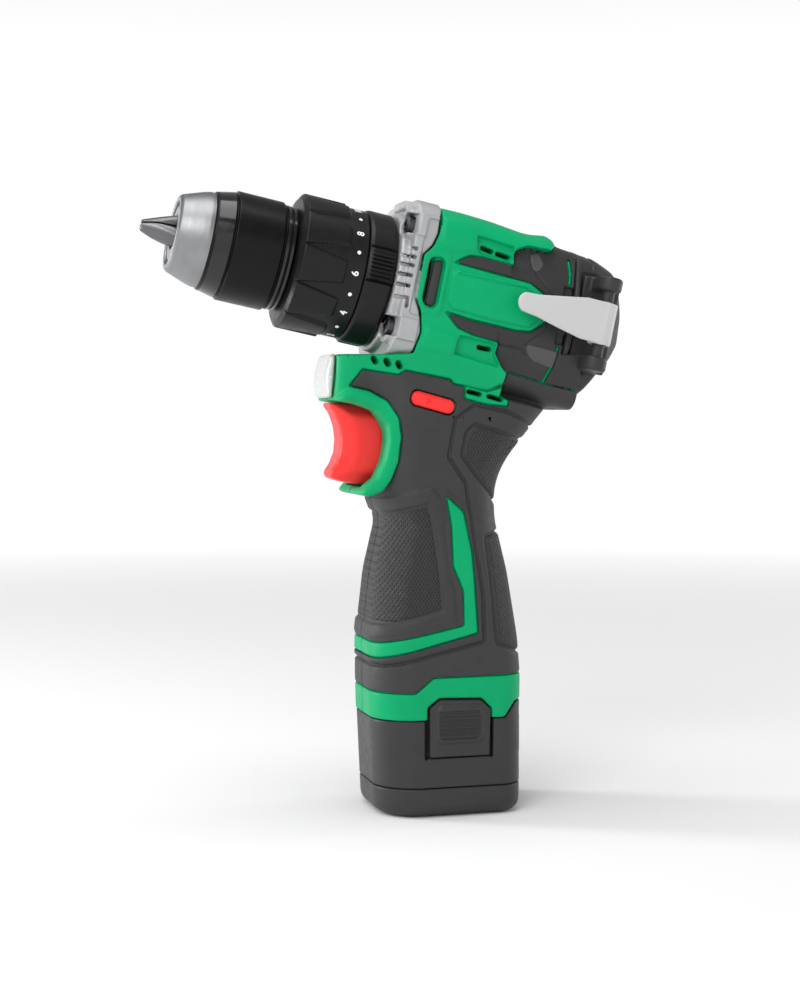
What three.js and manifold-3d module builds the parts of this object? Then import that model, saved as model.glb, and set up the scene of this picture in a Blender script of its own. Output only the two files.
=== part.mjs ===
// A compact cordless impact drill with a push-in battery.
// Millimetres. The origin is the middle of the battery's flat base, +Z is up and the nose points to -Y.
// Pieces on the drill axis are drawn with that axis along Y, nose at -Y, then tilted nose-up together.
import * as THREE from "three";
import { mergeVertices } from "three/addons/utils/BufferGeometryUtils.js";
import Module from "manifold-3d";

// ---- Driving dimensions ----
const GAP = 0.3;                        // clearance between neighbouring pieces
const SLIM_GAP = 0.15;                  // clearance on each side of a split plane
const HEAD_TILT = THREE.MathUtils.degToRad(12);
const HEAD_HEIGHT = 171.5;              // drill axis above the base at Y = 0
const SKIN = 1.2;                       // thickness of the rubber overmould
const MERGE = 1e-3;                     // corners closer than this are one corner
const CRUMB_PASSES = 3;                 // merging corners can free further crumbs
const FAR = 200;                        // larger than the whole drill, for cutting tools
const ROUND = 26;                       // sides of the large turned pieces
const SMALL_ROUND = 14;                 // sides of pins, screws and shafts

const HEAD_FRONT = -10.2;               // front edge of the green housing along the drill axis
const REAR_OVERRUN = 2;                 // the housing's form runs past its rear seam before it is cut there
const HEAD_REAR = 38;                   // seam of the rear cap along the drill axis
const CAP_UNDERSIDE = -29.5;            // lowest edge of the rear cap
const BARREL_RADIUS = 23.4;             // gearbox casting
const BARREL_FRONT = -21.2;
const FLANGE_FRONT = -18;
const GEAR_BORE = 18.9;
const GEAR_CASE_RADIUS = 20.6;
const GEAR_CASE_REAR = 4;
const TUBE_RADIUS = 15;
const TUBE_BORE = 11.1;
const TUBE_FRONT = -47;
const COLLAR_RADIUS = 22.1;
const COLLAR_BORE = 19.6;
const COLLAR_SEAM = -31.1;              // between the torque collar and the mode collar
const COLLAR_FRONT = -53.4;
const SCREW_ACROSS = 17;                // gearbox screws, left and right of the axis
const SCREW_LEVELS = [18.3, -15.2];     // and above and below it

const SHAFT_RADIUS = 6;
const SHAFT_FRONT = -63.4;
const SHAFT_SIDES = 24;                 // sides of the shaft and of what sits on it
const SLEEVE_RADIUS = 17.9;
const SLEEVE_BORE = 13.4;
const SLEEVE_HOLLOW = 16.2;             // the sleeve is open inside, round the nut
const CHUCK_CORE = 12.9;
const SLEEVE_REAR = -54;
const SLEEVE_RINGS = -57.6;             // two narrow rings end the sleeve
const SLEEVE_BAND = -74;                // its front band tapers from here to the front
const SLEEVE_FRONT = -80.7;
const NOSE_FRONT = -91.2;
const JAW_TIP = -101.5;
const JAW_REAR = -77;
const JAW_RADIUS = 3.1;
const JAW_LEAN = THREE.MathUtils.degToRad(15);
const JAW_AXIS_AT_NOSE = 2.4;           // distance of a jaw's axis from the drill axis at the nose face
const JAW_COUNT = 3;

const MODULE = 0.8;                     // gear module
const SUN_TEETH = 12;
const PLANET_TEETH = 15;
const RING_TEETH = SUN_TEETH + 2 * PLANET_TEETH;
const PLANET_CENTRE = MODULE * (SUN_TEETH + PLANET_TEETH) / 2;
const PLANET_COUNT = 3;
const GEAR_WIDTH = 6;
const RING_OVERHANG = 0.4;              // a ring is wider than its planets by this on each side
const PLANET_BORE = 1.9;
const PIN_RADIUS = 1.55;
const CARRIER_RADIUS = 14.2;
const STAGE_ONE = -1.2;                 // rear face of the planets next to the motor
const STAGE_TWO = -10.2;                // rear face of the planets next to the spindle

const BATTERY_SEAM = 9.9;
const BATTERY_TOP = 32.1;               // where the battery meets the foot of the handle
const STEM_TOP = 77;
const STEM_HALF_WIDTH = 19.15;
const CELL_RADIUS = 9.1;
const CELL_LENGTH = 65;
const LATCH_TRAVEL = 2;
const LATCH_FACE = 23.4;                // outer face of a latch button from the middle plane
const TRIGGER_HALF_WIDTH = 9.4;

// ---- Materials ----
const paint = (colour, roughness, metalness = 0) =>
  new THREE.MeshStandardMaterial({ color: colour, roughness, metalness });
const GREEN = paint(0x00a06a, 0.45);
const RUBBER = paint(0x3c3c3e, 0.85);
const BLACK = paint(0x333335, 0.6);
const GLOSS_BLACK = paint(0x101012, 0.2);
const CASTING = paint(0xb9b9b9, 0.55, 0.6);
const STEEL = paint(0xb0b0b0, 0.3, 1);
const DARK_STEEL = paint(0x77777a, 0.35, 1);
const RED = paint(0xf0302c, 0.4);
const HOOK_GREY = paint(0xcdcdcd, 0.4, 0.5);
const LENS = paint(0xf2f4f4, 0.15);
const BOARD = paint(0x1f5f3a, 0.6);
const CELL_WRAP = paint(0x3f7fbf, 0.4, 0.3);
const BRASS = paint(0xc9a548, 0.3, 1);

// ---- Closed meshes and solids ----
const wasm = await Module();
wasm.setup();

/** Merges shared corners, drops flat slivers and turns the faces outwards. */
function closed(geometry) {
  const bare = new THREE.BufferGeometry();
  bare.setAttribute("position", geometry.getAttribute("position").clone());
  if (geometry.index) bare.setIndex(Array.from(geometry.index.array));
  const merged = mergeVertices(bare, MERGE);
  const corners = merged.index.array;
  const position = merged.getAttribute("position");
  const kept = [];
  const [a, b, c] = [new THREE.Vector3(), new THREE.Vector3(), new THREE.Vector3()];
  let volume = 0;
  for (let i = 0; i < corners.length; i += 3) {
    const [i0, i1, i2] = [corners[i], corners[i + 1], corners[i + 2]];
    if (i0 === i1 || i1 === i2 || i2 === i0) continue;
    a.fromBufferAttribute(position, i0);
    b.fromBufferAttribute(position, i1);
    c.fromBufferAttribute(position, i2);
    volume += a.dot(b.cross(c));
    kept.push([i0, i1, i2]);
  }
  const outward = volume > 0 ? kept : kept.map(([i0, i1, i2]) => [i0, i2, i1]);
  merged.setIndex(outward.flat());
  return merged;
}

function toSolid(geometry) {
  const mesh = closed(geometry);
  return new wasm.Manifold(new wasm.Mesh({
    numProp: 3,
    vertProperties: new Float32Array(mesh.getAttribute("position").array),
    triVerts: new Uint32Array(mesh.index.array),
  }));
}

function toGeometry(solid) {
  const mesh = solid.getMesh();
  const geometry = new THREE.BufferGeometry();
  geometry.setAttribute("position", new THREE.BufferAttribute(new Float32Array(mesh.vertProperties), 3));
  geometry.setIndex(Array.from(mesh.triVerts));
  return geometry;
}

/** The largest body of a solid, without the crumbs that a cut leaves where two faces nearly meet. */
function mainBody(solid) {
  let body = solid;
  for (let pass = 0; pass < CRUMB_PASSES; pass += 1) {
    body = toSolid(toGeometry(body)).decompose()
      .reduce((largest, other) => (other.volume() > largest.volume() ? other : largest));
  }
  return body;
}

const join = (...solids) => solids.reduce((whole, solid) => whole.add(solid));
const cut = (solid, ...tools) => tools.reduce((rest, tool) => rest.subtract(tool), solid);

// ---- Shape helpers ----
const HEAD_MATRIX = new THREE.Matrix4().makeRotationX(-HEAD_TILT).setPosition(0, 0, HEAD_HEIGHT);
const toWorld = (geometry) => geometry.clone().applyMatrix4(HEAD_MATRIX);

/** A turned piece about Y from [radius, along] points, closed on themselves. */
function turned(profile, sides = ROUND) {
  const points = profile.map(([radius, along]) => new THREE.Vector2(radius, along));
  points.push(points[0].clone());
  return new THREE.LatheGeometry(points, sides);
}

/** A solid disc or rod along Y. */
function rod(radius, from, to, sides = SMALL_ROUND, x = 0, z = 0) {
  return new THREE.CylinderGeometry(radius, radius, Math.abs(to - from), sides)
    .translate(x, (from + to) / 2, z);
}

/** A ring along Y. */
const ring = (outer, inner, from, to, sides = ROUND) =>
  turned([[inner, from], [inner, to], [outer, to], [outer, from]], sides);

function box(x0, x1, y0, y1, z0, z1) {
  return new THREE.BoxGeometry(x1 - x0, y1 - y0, z1 - z0)
    .translate((x0 + x1) / 2, (y0 + y1) / 2, (z0 + z1) / 2);
}

const SIDE_VIEW = new THREE.Matrix4().makeBasis(
  new THREE.Vector3(0, 1, 0), new THREE.Vector3(0, 0, 1), new THREE.Vector3(1, 0, 0));

/** A side-view outline of [y, z] points made solid from x0 to x1. */
function sidePlate(outline, x0, x1) {
  const shape = new THREE.Shape(outline.map(([y, z]) => new THREE.Vector2(y, z)));
  return new THREE.ExtrudeGeometry(shape, { depth: x1 - x0, bevelEnabled: false })
    .translate(0, 0, x0).applyMatrix4(SIDE_VIEW);
}

/** A rounded rectangle, with its own corner radius at the low end and the high end of its second axis. */
function roundedLoop(halfWidth, low, high, lowRadius, highRadius, steps = 3) {
  const loop = [];
  const corners = [
    [halfWidth - lowRadius, low + lowRadius, lowRadius, -90],
    [halfWidth - highRadius, high - highRadius, highRadius, 0],
    [highRadius - halfWidth, high - highRadius, highRadius, 90],
    [lowRadius - halfWidth, low + lowRadius, lowRadius, 180],
  ];
  for (const [x, y, radius, start] of corners) {
    for (let step = 0; step <= steps; step += 1) {
      const angle = THREE.MathUtils.degToRad(start + 90 * step / steps);
      loop.push([x + radius * Math.cos(angle), y + radius * Math.sin(angle)]);
    }
  }
  return loop;
}

/** A solid through loops of corners, with flat ends. */
function loft(loops) {
  const count = loops[0].length;
  const corners = loops.flat();
  const faces = [];
  for (let level = 0; level + 1 < loops.length; level += 1) {
    for (let i = 0; i < count; i += 1) {
      const j = (i + 1) % count;
      const [a, b] = [level * count + i, level * count + j];
      faces.push([a, b, b + count], [a, b + count, a + count]);
    }
  }
  for (const [level, flip] of [[0, true], [loops.length - 1, false]]) {
    const middle = new THREE.Vector3();
    loops[level].forEach((corner) => middle.addScaledVector(corner, 1 / count));
    corners.push(middle);
    for (let i = 0; i < count; i += 1) {
      const [a, b] = [level * count + i, level * count + (i + 1) % count];
      faces.push(flip ? [corners.length - 1, b, a] : [corners.length - 1, a, b]);
    }
  }
  return new THREE.BufferGeometry().setFromPoints(corners).setIndex(faces.flat());
}

/** Handle sections: height, front, rear, half width, front radius, rear radius. */
function handleLoft(sections, inset = 0) {
  return loft(sections.map(([z, front, rear, half, frontRadius, rearRadius]) =>
    roundedLoop(half - inset, front + inset, rear - inset, frontRadius - inset, rearRadius - inset)
      .map(([x, y]) => new THREE.Vector3(x, y, z))));
}

/** Head sections: place along the axis, half width, bottom, top, corner radius. */
function headLoft(sections, inset = 0) {
  return loft(sections.map(([along, half, bottom, top, radius]) =>
    roundedLoop(half - inset, bottom + inset, top - inset, radius - inset, radius - inset)
      .map(([x, z]) => new THREE.Vector3(x, along, z))));
}

/** The square flange at the rear of the gearbox casting, grown by a clearance. */
function flangeBlock(grow, from, to) {
  const corner = 9 + grow;
  return loft([from, to].map((along) => roundedLoop(24 + grow, -24 - grow, 26.6 + grow, corner, corner)
    .map(([x, z]) => new THREE.Vector3(x, along, z))));
}

/** A straight-sided gear outline. Thin teeth leave generous backlash. */
function gearOutline(teeth, inward = false) {
  const pitch = MODULE * teeth / 2;
  const side = inward ? -1 : 1;
  const tip = pitch + side * 0.7 * MODULE;
  const root = pitch - side * 1.1 * MODULE;
  const points = [];
  for (let tooth = 0; tooth < teeth; tooth += 1) {
    const middle = (tooth + (inward ? 0.5 : 0)) * 2 * Math.PI / teeth;
    const step = 2 * Math.PI / teeth;
    for (const [radius, share] of [[root, -0.26], [tip, 0], [root, 0.26]]) {
      const angle = middle + share * step;
      points.push(new THREE.Vector2(radius * Math.sin(angle), radius * Math.cos(angle)));
    }
  }
  return points;
}

/** A gear from a rear face forwards. Its outline's first tooth, or gap in a ring, points up. */
function gear(outline, rear, width, hole) {
  const shape = new THREE.Shape(outline);
  if (hole) shape.holes.push(hole);
  return new THREE.ExtrudeGeometry(shape, { depth: width, bevelEnabled: false })
    .rotateX(Math.PI / 2).translate(0, rear, 0);
}

const circlePoints = (radius, sides) => Array.from({ length: sides }, (_, side) => new THREE.Vector2(
  radius * Math.cos(2 * Math.PI * side / sides), radius * Math.sin(2 * Math.PI * side / sides)));

/** A coil spring along Y. */
function spring(radius, wire, from, to, turns, stepsPerTurn, sides) {
  const steps = turns * stepsPerTurn;
  const points = [];
  for (let step = 0; step <= steps; step += 1) {
    const angle = 2 * Math.PI * step / stepsPerTurn;
    points.push(new THREE.Vector3(
      radius * Math.cos(angle), from + (to - from) * step / steps, radius * Math.sin(angle)));
  }
  const section = new THREE.Shape(circlePoints(wire, sides));
  return new THREE.ExtrudeGeometry(section, {
    steps: Math.round(steps), extrudePath: new THREE.CatmullRomCurve3(points), bevelEnabled: false,
  });
}

// ---- Scene graph ----
const drill = new THREE.Group();
const head = new THREE.Group();
head.rotation.x = -HEAD_TILT;
head.position.z = HEAD_HEIGHT;
drill.add(head);

function piece(parent, name, material, geometry) {
  const mesh = new THREE.Mesh(closed(geometry), material);
  mesh.name = name;
  parent.add(mesh);
  return mesh;
}

// ---- Housing: two green shells, split on the middle plane, with a rubber overmould on each ----
const HANDLE = [
  [BATTERY_TOP + GAP, -26.2, 24.2, 21.6, 14, 9],
  [46, -26.6, 24.6, 21.8, 14, 10],
  [58, -26.3, 24.2, 21.7, 14, 12],
  [80, -24.0, 20.8, 21.5, 15, 13],
  [97, -20.3, 17.0, 20.0, 15, 13],
  [106, -24.0, 17.0, 19.0, 12, 13],
  [112, -25.5, 18.6, 18.6, 11, 13],
  [118, -22.6, 21.8, 18.6, 10, 13],
  [126, -21.4, 28.4, 19.4, 10, 14],
  [134, -26.5, 35.0, 20.4, 12, 16],
  [147, -29.0, 26.0, 20.0, 14, 16],
];
const HEAD = [
  [HEAD_FRONT, 24.6, -24, 25.9, 10],
  [3, 25.4, -27, 26.1, 11],
  [20, 25.4, -30, 24.8, 11],
  [28, 25.2, -31, 26.2, 12],
  [HEAD_REAR, 24.4, -29, 25, 12],
];
const NOSE_OUTLINE = [
  [-36.0, 154.9], [-36.4, 147], [-37.4, 138.6], [-33, 136.2], [-26.3, 133.8], [-12, 133],
  [-4, 150], [-8, 158], [-30, 158],
];
const NOSE_HALF_WIDTH = 15;
// Where the nose, the head and the handle meet, deep inside the housing.
const CORE_OUTLINE = [
  [-28, 138], [-20, 138], [-14, 124], [16, 124], [28, 138], [28, 160], [-10, 165], [-10, 152],
  [-28, 152],
];
const CORE_HALF_WIDTH = 13;
const TRIGGER_OUTLINE = [
  [-39.3, 136.0], [-36.8, 132.5], [-35.2, 128.5], [-34.7, 124], [-35.2, 119], [-36.8, 115.5],
  [-38.6, 113], [-38.2, 111.2], [-34, 109.7], [-28.7, 108.9], [-19.5, 109.7], [-17.2, 112],
  [-17.2, 133], [-22, 135.4],
];
const LENS_OUTLINE = [[-36.6, 154.4], [-39.2, 153.4], [-41.4, 147.5], [-41.6, 143.2], [-40.2, 139],
  [-37.9, 138.8], [-36.8, 147]];

// The slot follows the trigger's lower edge as it stands when pulled.
const TRIGGER_SLOT = [
  [-45, 136.3], [-45, 108.4], [-21.7, 108.4], [-12.5, 109.2], [-9.2, 109.2], [-9.2, 136.3],
];

/** An outline drawn in towards its middle. */
function shrunk(outline, inset) {
  const middle = [0, 1].map((axis) => outline.reduce((sum, point) => sum + point[axis], 0) / outline.length);
  return outline.map((point) => {
    const reach = Math.hypot(point[0] - middle[0], point[1] - middle[1]);
    return point.map((value, axis) => middle[axis] + (value - middle[axis]) * (1 - inset / reach));
  });
}

/** The housing's form, drawn in on all sides but running past its open foot, front and rear. */
function housingForm(inset) {
  const handle = HANDLE.map(([z, ...rest], level) => [level === 0 ? z - inset : z, ...rest]);
  const headSections = HEAD.map(([along, ...rest], level) => {
    const past = level === 0 ? -inset : level === HEAD.length - 1 ? REAR_OVERRUN + inset : 0;
    return [along + past, ...rest];
  });
  return join(
    toSolid(sidePlate(shrunk(CORE_OUTLINE, inset), inset - CORE_HALF_WIDTH, CORE_HALF_WIDTH - inset)),
    toSolid(handleLoft(handle, inset)),
    toSolid(toWorld(headLoft(headSections, inset))),
    toSolid(sidePlate(shrunk(NOSE_OUTLINE, inset), inset - NOSE_HALF_WIDTH, NOSE_HALF_WIDTH - inset)),
  );
}

const housingBody = cut(
  housingForm(0), toSolid(toWorld(box(-FAR, FAR, HEAD_REAR, FAR, CAP_UNDERSIDE - GAP, FAR))));

// The region covered by rubber, seen from the side: grip and rear, with a slot for the green stripe.
const STRIPE_INNER = [
  [-60, 56.4], [-32.6, 56.4], [2.5, 63.2], [2.2, 74.7], [-1.2, 82], [-1.4, 96], [-3.2, 106],
];
const STRIPE_OUTER = [[3, 100], [5.4, 87], [7.3, 61], [-32.6, 52.4], [-60, 52.4]];
const RUBBER_OUTLINE = [
  [-60, 42], [-13.8, 42], [-7.7, 46.2], [60, 46.2], [60, 140.5], [31.4, 140.8], [23.2, 168.6],
  [17.5, 150], [17.5, 142], [10.4, 139], [-1.5, 142.5], [-17, 146.2], [-20, 144.6], [-29, 146],
  [-33.8, 141], [-27.9, 139.6], [-22.4, 136.4], [-18.6, 130.7], [-17.7, 124.8], [-18.6, 116.8],
  [-20.8, 110.4], [-24, 106.4], [-60, 104],
  ...STRIPE_INNER, ...STRIPE_OUTER,
];
const RUBBER_HEAD_OUTLINE = [[17, 17], [23, 21], [HEAD_REAR + 1, 20.5], [HEAD_REAR + 1, -30], [17, -30]];

const housingSkin = cut(housingBody, housingForm(SKIN));
const rubberRegion = (dy, dz) => join(
  toSolid(sidePlate(RUBBER_OUTLINE, -FAR, FAR).translate(0, dy, dz)),
  toSolid(toWorld(sidePlate(RUBBER_HEAD_OUTLINE, -FAR, FAR)).translate(0, dy, dz)),
);
const gapSteps = [[GAP, 0], [-GAP, 0], [0, GAP], [0, -GAP]];
const grownRegion = join(...gapSteps.map(([dy, dz]) => rubberRegion(dy, dz)));
const housingRecess = cut(housingBody, housingForm(SKIN + GAP)).intersect(grownRegion);

const latchNotch = (side) => toSolid(box(
  Math.min(side * STEM_HALF_WIDTH, side * 30), Math.max(side * STEM_HALF_WIDTH, side * 30),
  -9.7, 11.5, 30, 39.3));
const stemLoop = (grow) => roundedLoop(
  STEM_HALF_WIDTH + grow, -21.9 - grow, 15 + grow, 16 + grow, 8 + grow, 4);
const prism = (loop, from, to) => loft(
  [from, to].map((z) => loop.map(([x, y]) => new THREE.Vector3(x, y, z))));

const SPEED_WINDOW = [-1.6, 13.2];      // along the drill axis
const SPEED_HALF_WIDTH = 7;
const BUTTON_CENTRE = new THREE.Vector3(0, -7.6, 136);
const BUTTON_SLANT = THREE.MathUtils.degToRad(-15);

/** The direction button's bar, across the handle, grown for its slot. */
function buttonBar(grow, halfLength) {
  return new THREE.BoxGeometry(2 * halfLength, 15 + 2 * grow, 4.8 + 2 * grow)
    .rotateX(BUTTON_SLANT).translate(BUTTON_CENTRE.x, BUTTON_CENTRE.y, BUTTON_CENTRE.z);
}

const MOTOR_BORE = 18.7;
const housingCavities = [
  toWorld(rod(MOTOR_BORE, GEAR_CASE_REAR, FAR, ROUND)),
  toWorld(rod(GEAR_CASE_RADIUS + GAP, HEAD_FRONT - 5, GEAR_CASE_REAR + 0.5, ROUND)),
  toWorld(rod(BARREL_RADIUS + GAP, -FAR, FLANGE_FRONT, ROUND)),
  toWorld(flangeBlock(GAP, FLANGE_FRONT - GAP, HEAD_FRONT - 0.1)),
  prism(stemLoop(GAP), -1, STEM_TOP + 0.4),
  handleLoft(HANDLE.slice(4), 4),
  box(-12, 12, -14, 10, STEM_TOP, 98),
  sidePlate(TRIGGER_SLOT, -TRIGGER_HALF_WIDTH - 0.4, TRIGGER_HALF_WIDTH + 0.4),
  box(-9, 9, -34.6, -12, 140.5, 149.6),
  sidePlate(LENS_OUTLINE.map(([y, z]) => [y + 0.1, z]), -NOSE_HALF_WIDTH - 1, NOSE_HALF_WIDTH + 1),
  toWorld(box(-SPEED_HALF_WIDTH - GAP, SPEED_HALF_WIDTH + GAP, ...SPEED_WINDOW, 15, 40)),
  buttonBar(GAP, 40),
].map(toSolid);

const housingOpenings = join(...housingCavities, latchNotch(1), latchNotch(-1));
const sharedHousing = cut(cut(housingBody, housingRecess), housingOpenings);
const rubberWhole = cut(housingSkin.intersect(rubberRegion(0, 0)), housingOpenings);

const rightHalf = toSolid(box(-FAR, -SLIM_GAP, -FAR, FAR, -FAR, 2 * FAR));
for (const [name, material, whole] of [
  ["housing_shell", GREEN, sharedHousing], ["grip_overmold", RUBBER, rubberWhole]]) {
  const half = toGeometry(mainBody(whole.intersect(rightHalf)));
  piece(drill, `right_${name}`, material, half);
  piece(drill, `left_${name}`, material, half.clone().scale(-1, 1, 1));
}

// ---- Rear cap, and the bar that carries the belt hook ----
const REAR_CAP = [
  [HEAD_REAR + GAP, 24.4, CAP_UNDERSIDE, 24.8, 12],
  [45, 23.5, -28.5, 23.4, 12],
  [51.5, 21, -21.5, 21.2, 12],
  [57, 16, -13.5, 16.2, 10],
  [60.5, 11, -8.5, 9, 7],
  [61.5, 7, -5, 5, 4.5],
];
const HOOK_BAR = { x: 28.4, along: 48.6, radius: 2.1, reach: 13.5 };
const HOOK_ARM_LEVELS = [-HOOK_BAR.reach, HOOK_BAR.reach];

piece(head, "rear_cap", BLACK, toGeometry(cut(
  toSolid(headLoft(REAR_CAP)),
  toSolid(rod(MOTOR_BORE, HEAD_REAR - 1, 46.5, ROUND)),
  toSolid(rod(4.4, 46, 51.5)),
  toSolid(box(19.6, 40, 41, 60, -16.6, 16.6)),
)));

const hookBar = new THREE.CylinderGeometry(
  HOOK_BAR.radius, HOOK_BAR.radius, 2 * HOOK_BAR.reach, SMALL_ROUND)
  .rotateX(Math.PI / 2).translate(HOOK_BAR.x, HOOK_BAR.along, 0);
const hookArms = HOOK_ARM_LEVELS.map((level) => box(
  19.9, HOOK_BAR.x + HOOK_BAR.radius, HOOK_BAR.along - 2.4, HOOK_BAR.along + 2.4, level - 1.6, level + 1.6));
piece(head, "hook_mount", BLACK, toGeometry(join(
  ...[hookBar, ...hookArms].map(toSolid),
  toSolid(box(19.9, 21.4, HOOK_BAR.along - 4, HOOK_BAR.along + 4, -15.1, 15.1)),
)));

// The flat spring-steel hook widens to the rear, where it rolls round the bar.
const HOOK_PLATE = { front: 17.7, frontHalf: 2.6, rearHalf: 6.7, thickness: 1.4 };
const hookInner = HOOK_BAR.radius + GAP;
const hookOuter = hookInner + HOOK_PLATE.thickness;
const hookOutline = new THREE.Shape([
  [HOOK_PLATE.front, -1.2], [HOOK_PLATE.front + 1.6, -HOOK_PLATE.frontHalf],
  [HOOK_BAR.along - 8, -HOOK_PLATE.rearHalf], [HOOK_BAR.along, -HOOK_PLATE.rearHalf],
  [HOOK_BAR.along, HOOK_PLATE.rearHalf], [HOOK_BAR.along - 8, HOOK_PLATE.rearHalf],
  [HOOK_PLATE.front + 1.6, HOOK_PLATE.frontHalf + 1], [HOOK_PLATE.front, HOOK_PLATE.frontHalf - 0.4],
].map(([along, level]) => new THREE.Vector2(along, level)));
const hookPlate = new THREE.ExtrudeGeometry(hookOutline, { depth: HOOK_PLATE.thickness, bevelEnabled: false })
  .applyMatrix4(SIDE_VIEW).translate(HOOK_BAR.x + hookInner, 0, 0);
const hookRoll = new THREE.CylinderGeometry(hookOuter, hookOuter, 2 * HOOK_PLATE.rearHalf, 20)
  .rotateX(Math.PI / 2).translate(HOOK_BAR.x, HOOK_BAR.along, 0);
const hookHole = new THREE.CylinderGeometry(hookInner, hookInner, 40, 20)
  .rotateX(Math.PI / 2).translate(HOOK_BAR.x, HOOK_BAR.along, 0);
piece(head, "belt_hook", HOOK_GREY, toGeometry(cut(
  join(toSolid(hookPlate), toSolid(hookRoll)), toSolid(hookHole))));

// ---- Gearbox casting, its screws and the collars in front of it ----
const barrel = turned([
  [TUBE_BORE, TUBE_FRONT], [TUBE_BORE, -25.4], [6.6, -25.4], [6.6, -19.2], [GEAR_BORE, -19.2],
  [GEAR_BORE, GEAR_CASE_REAR], [GEAR_CASE_RADIUS, GEAR_CASE_REAR], [GEAR_CASE_RADIUS, HEAD_FRONT - GAP],
  [BARREL_RADIUS, HEAD_FRONT - GAP], [BARREL_RADIUS, BARREL_FRONT], [TUBE_RADIUS, BARREL_FRONT],
  [TUBE_RADIUS, TUBE_FRONT],
]);
const screwPlaces = [1, -1].flatMap((side) => SCREW_LEVELS.map((level) => [side * SCREW_ACROSS, level]));
piece(head, "gearbox_housing", CASTING, toGeometry(cut(
  join(toSolid(barrel), cut(
    toSolid(flangeBlock(0, FLANGE_FRONT, HEAD_FRONT - GAP)),
    toSolid(rod(GEAR_BORE + 0.5, -FAR, FAR, ROUND)),
  )),
  ...screwPlaces.flatMap(([x, z]) => [
    toSolid(rod(3.4, -FAR, FLANGE_FRONT + 0.6, SMALL_ROUND, x, z)),
    toSolid(rod(1.8, -FAR, FAR, SMALL_ROUND, x, z)),
  ]),
)));
screwPlaces.forEach(([x, z], index) => {
  const headAndShank = turned([
    [0, -20.4], [2.9, -20.4], [2.9, FLANGE_FRONT + 0.3], [1.5, FLANGE_FRONT + 0.3], [1.5, -10.8], [0, -10.8],
  ], 12).translate(x, 0, z);
  piece(head, `gearbox_screw_${index + 1}`, DARK_STEEL, headAndShank);
});

piece(head, "mode_collar", BLACK, turned([
  [COLLAR_BORE, COLLAR_SEAM + SLIM_GAP], [COLLAR_BORE, -26.4], [TUBE_RADIUS + GAP, -26.4],
  [TUBE_RADIUS + GAP, BARREL_FRONT - GAP], [COLLAR_RADIUS - 0.8, BARREL_FRONT - GAP],
  [COLLAR_RADIUS, BARREL_FRONT - 1.2], [COLLAR_RADIUS, COLLAR_SEAM + SLIM_GAP],
]));
piece(head, "torque_collar", BLACK, turned([
  [COLLAR_BORE, COLLAR_SEAM - SLIM_GAP], [COLLAR_RADIUS, COLLAR_SEAM - SLIM_GAP],
  [COLLAR_RADIUS, COLLAR_FRONT + 1.2], [COLLAR_RADIUS - 1.2, COLLAR_FRONT], [13.4, COLLAR_FRONT],
  [13.4, COLLAR_FRONT + 2], [COLLAR_BORE, COLLAR_FRONT + 2],
]));
piece(head, "clutch_spring", STEEL, spring(17.2, 0.8, -49.5, -28.5, 4, 12, 5));
piece(head, "spindle_bearing", STEEL, ring(TUBE_BORE - GAP, SHAFT_RADIUS + GAP, -46.4, -40, SHAFT_SIDES));
piece(head, "ratchet_fixed", DARK_STEEL, toGeometry(cut(
  toSolid(ring(TUBE_BORE - GAP, SHAFT_RADIUS + 2 * GAP, -32.4, -28, SHAFT_SIDES)),
  ...[0, 60, 120].map((angle) => toSolid(
    box(-1.2, 1.2, -33, -31.4, -20, 20).rotateY(THREE.MathUtils.degToRad(angle)))),
)));

// ---- Planetary gears: two stages, fixed rings, turning carriers ----
const ringOutline = gearOutline(RING_TEETH, true);
for (const [name, rear] of [["ring_gear_1", STAGE_ONE], ["ring_gear_2", STAGE_TWO]]) {
  piece(head, name, STEEL, gear(
    circlePoints(GEAR_BORE - GAP, ROUND), rear + RING_OVERHANG, GEAR_WIDTH + 2 * RING_OVERHANG,
    new THREE.Path(ringOutline)));
}
const planetAngles = Array.from({ length: PLANET_COUNT }, (_, index) => 2 * Math.PI * index / PLANET_COUNT);
for (const [stage, rear] of [[1, STAGE_ONE], [2, STAGE_TWO]]) {
  planetAngles.forEach((angle, index) => {
    const bore = new THREE.Path(circlePoints(PLANET_BORE, 8));
    const planet = gear(gearOutline(PLANET_TEETH), rear, GEAR_WIDTH, bore)
      .translate(0, 0, PLANET_CENTRE).rotateY(angle);
    piece(head, `planet_${stage}_${index + 1}`, STEEL, planet);
  });
}
const planetPins = (from, to) => planetAngles.map((angle) => toSolid(
  rod(PIN_RADIUS, from, to, 10, 0, PLANET_CENTRE).rotateY(angle)));
const sunGear = (rear, width) => toSolid(gear(gearOutline(SUN_TEETH), rear, width));
piece(head, "carrier_1", DARK_STEEL, toGeometry(join(
  toSolid(rod(CARRIER_RADIUS, -9.4, -7.6, SHAFT_SIDES)), sunGear(-9, 7), ...planetPins(-8, -0.9))));

// ---- Spindle and keyless chuck ----
piece(head, "spindle", DARK_STEEL, toGeometry(join(
  toSolid(rod(SHAFT_RADIUS, SHAFT_FRONT, -17, SHAFT_SIDES)),
  toSolid(rod(CARRIER_RADIUS, -18.6, -16.8, SHAFT_SIDES)),
  ...planetPins(-17.5, -9.8),
)));
piece(head, "ratchet_turning", DARK_STEEL,
  ring(TUBE_BORE - 2 * GAP, SHAFT_RADIUS + GAP, -38.4, -34, SHAFT_SIDES));

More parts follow.
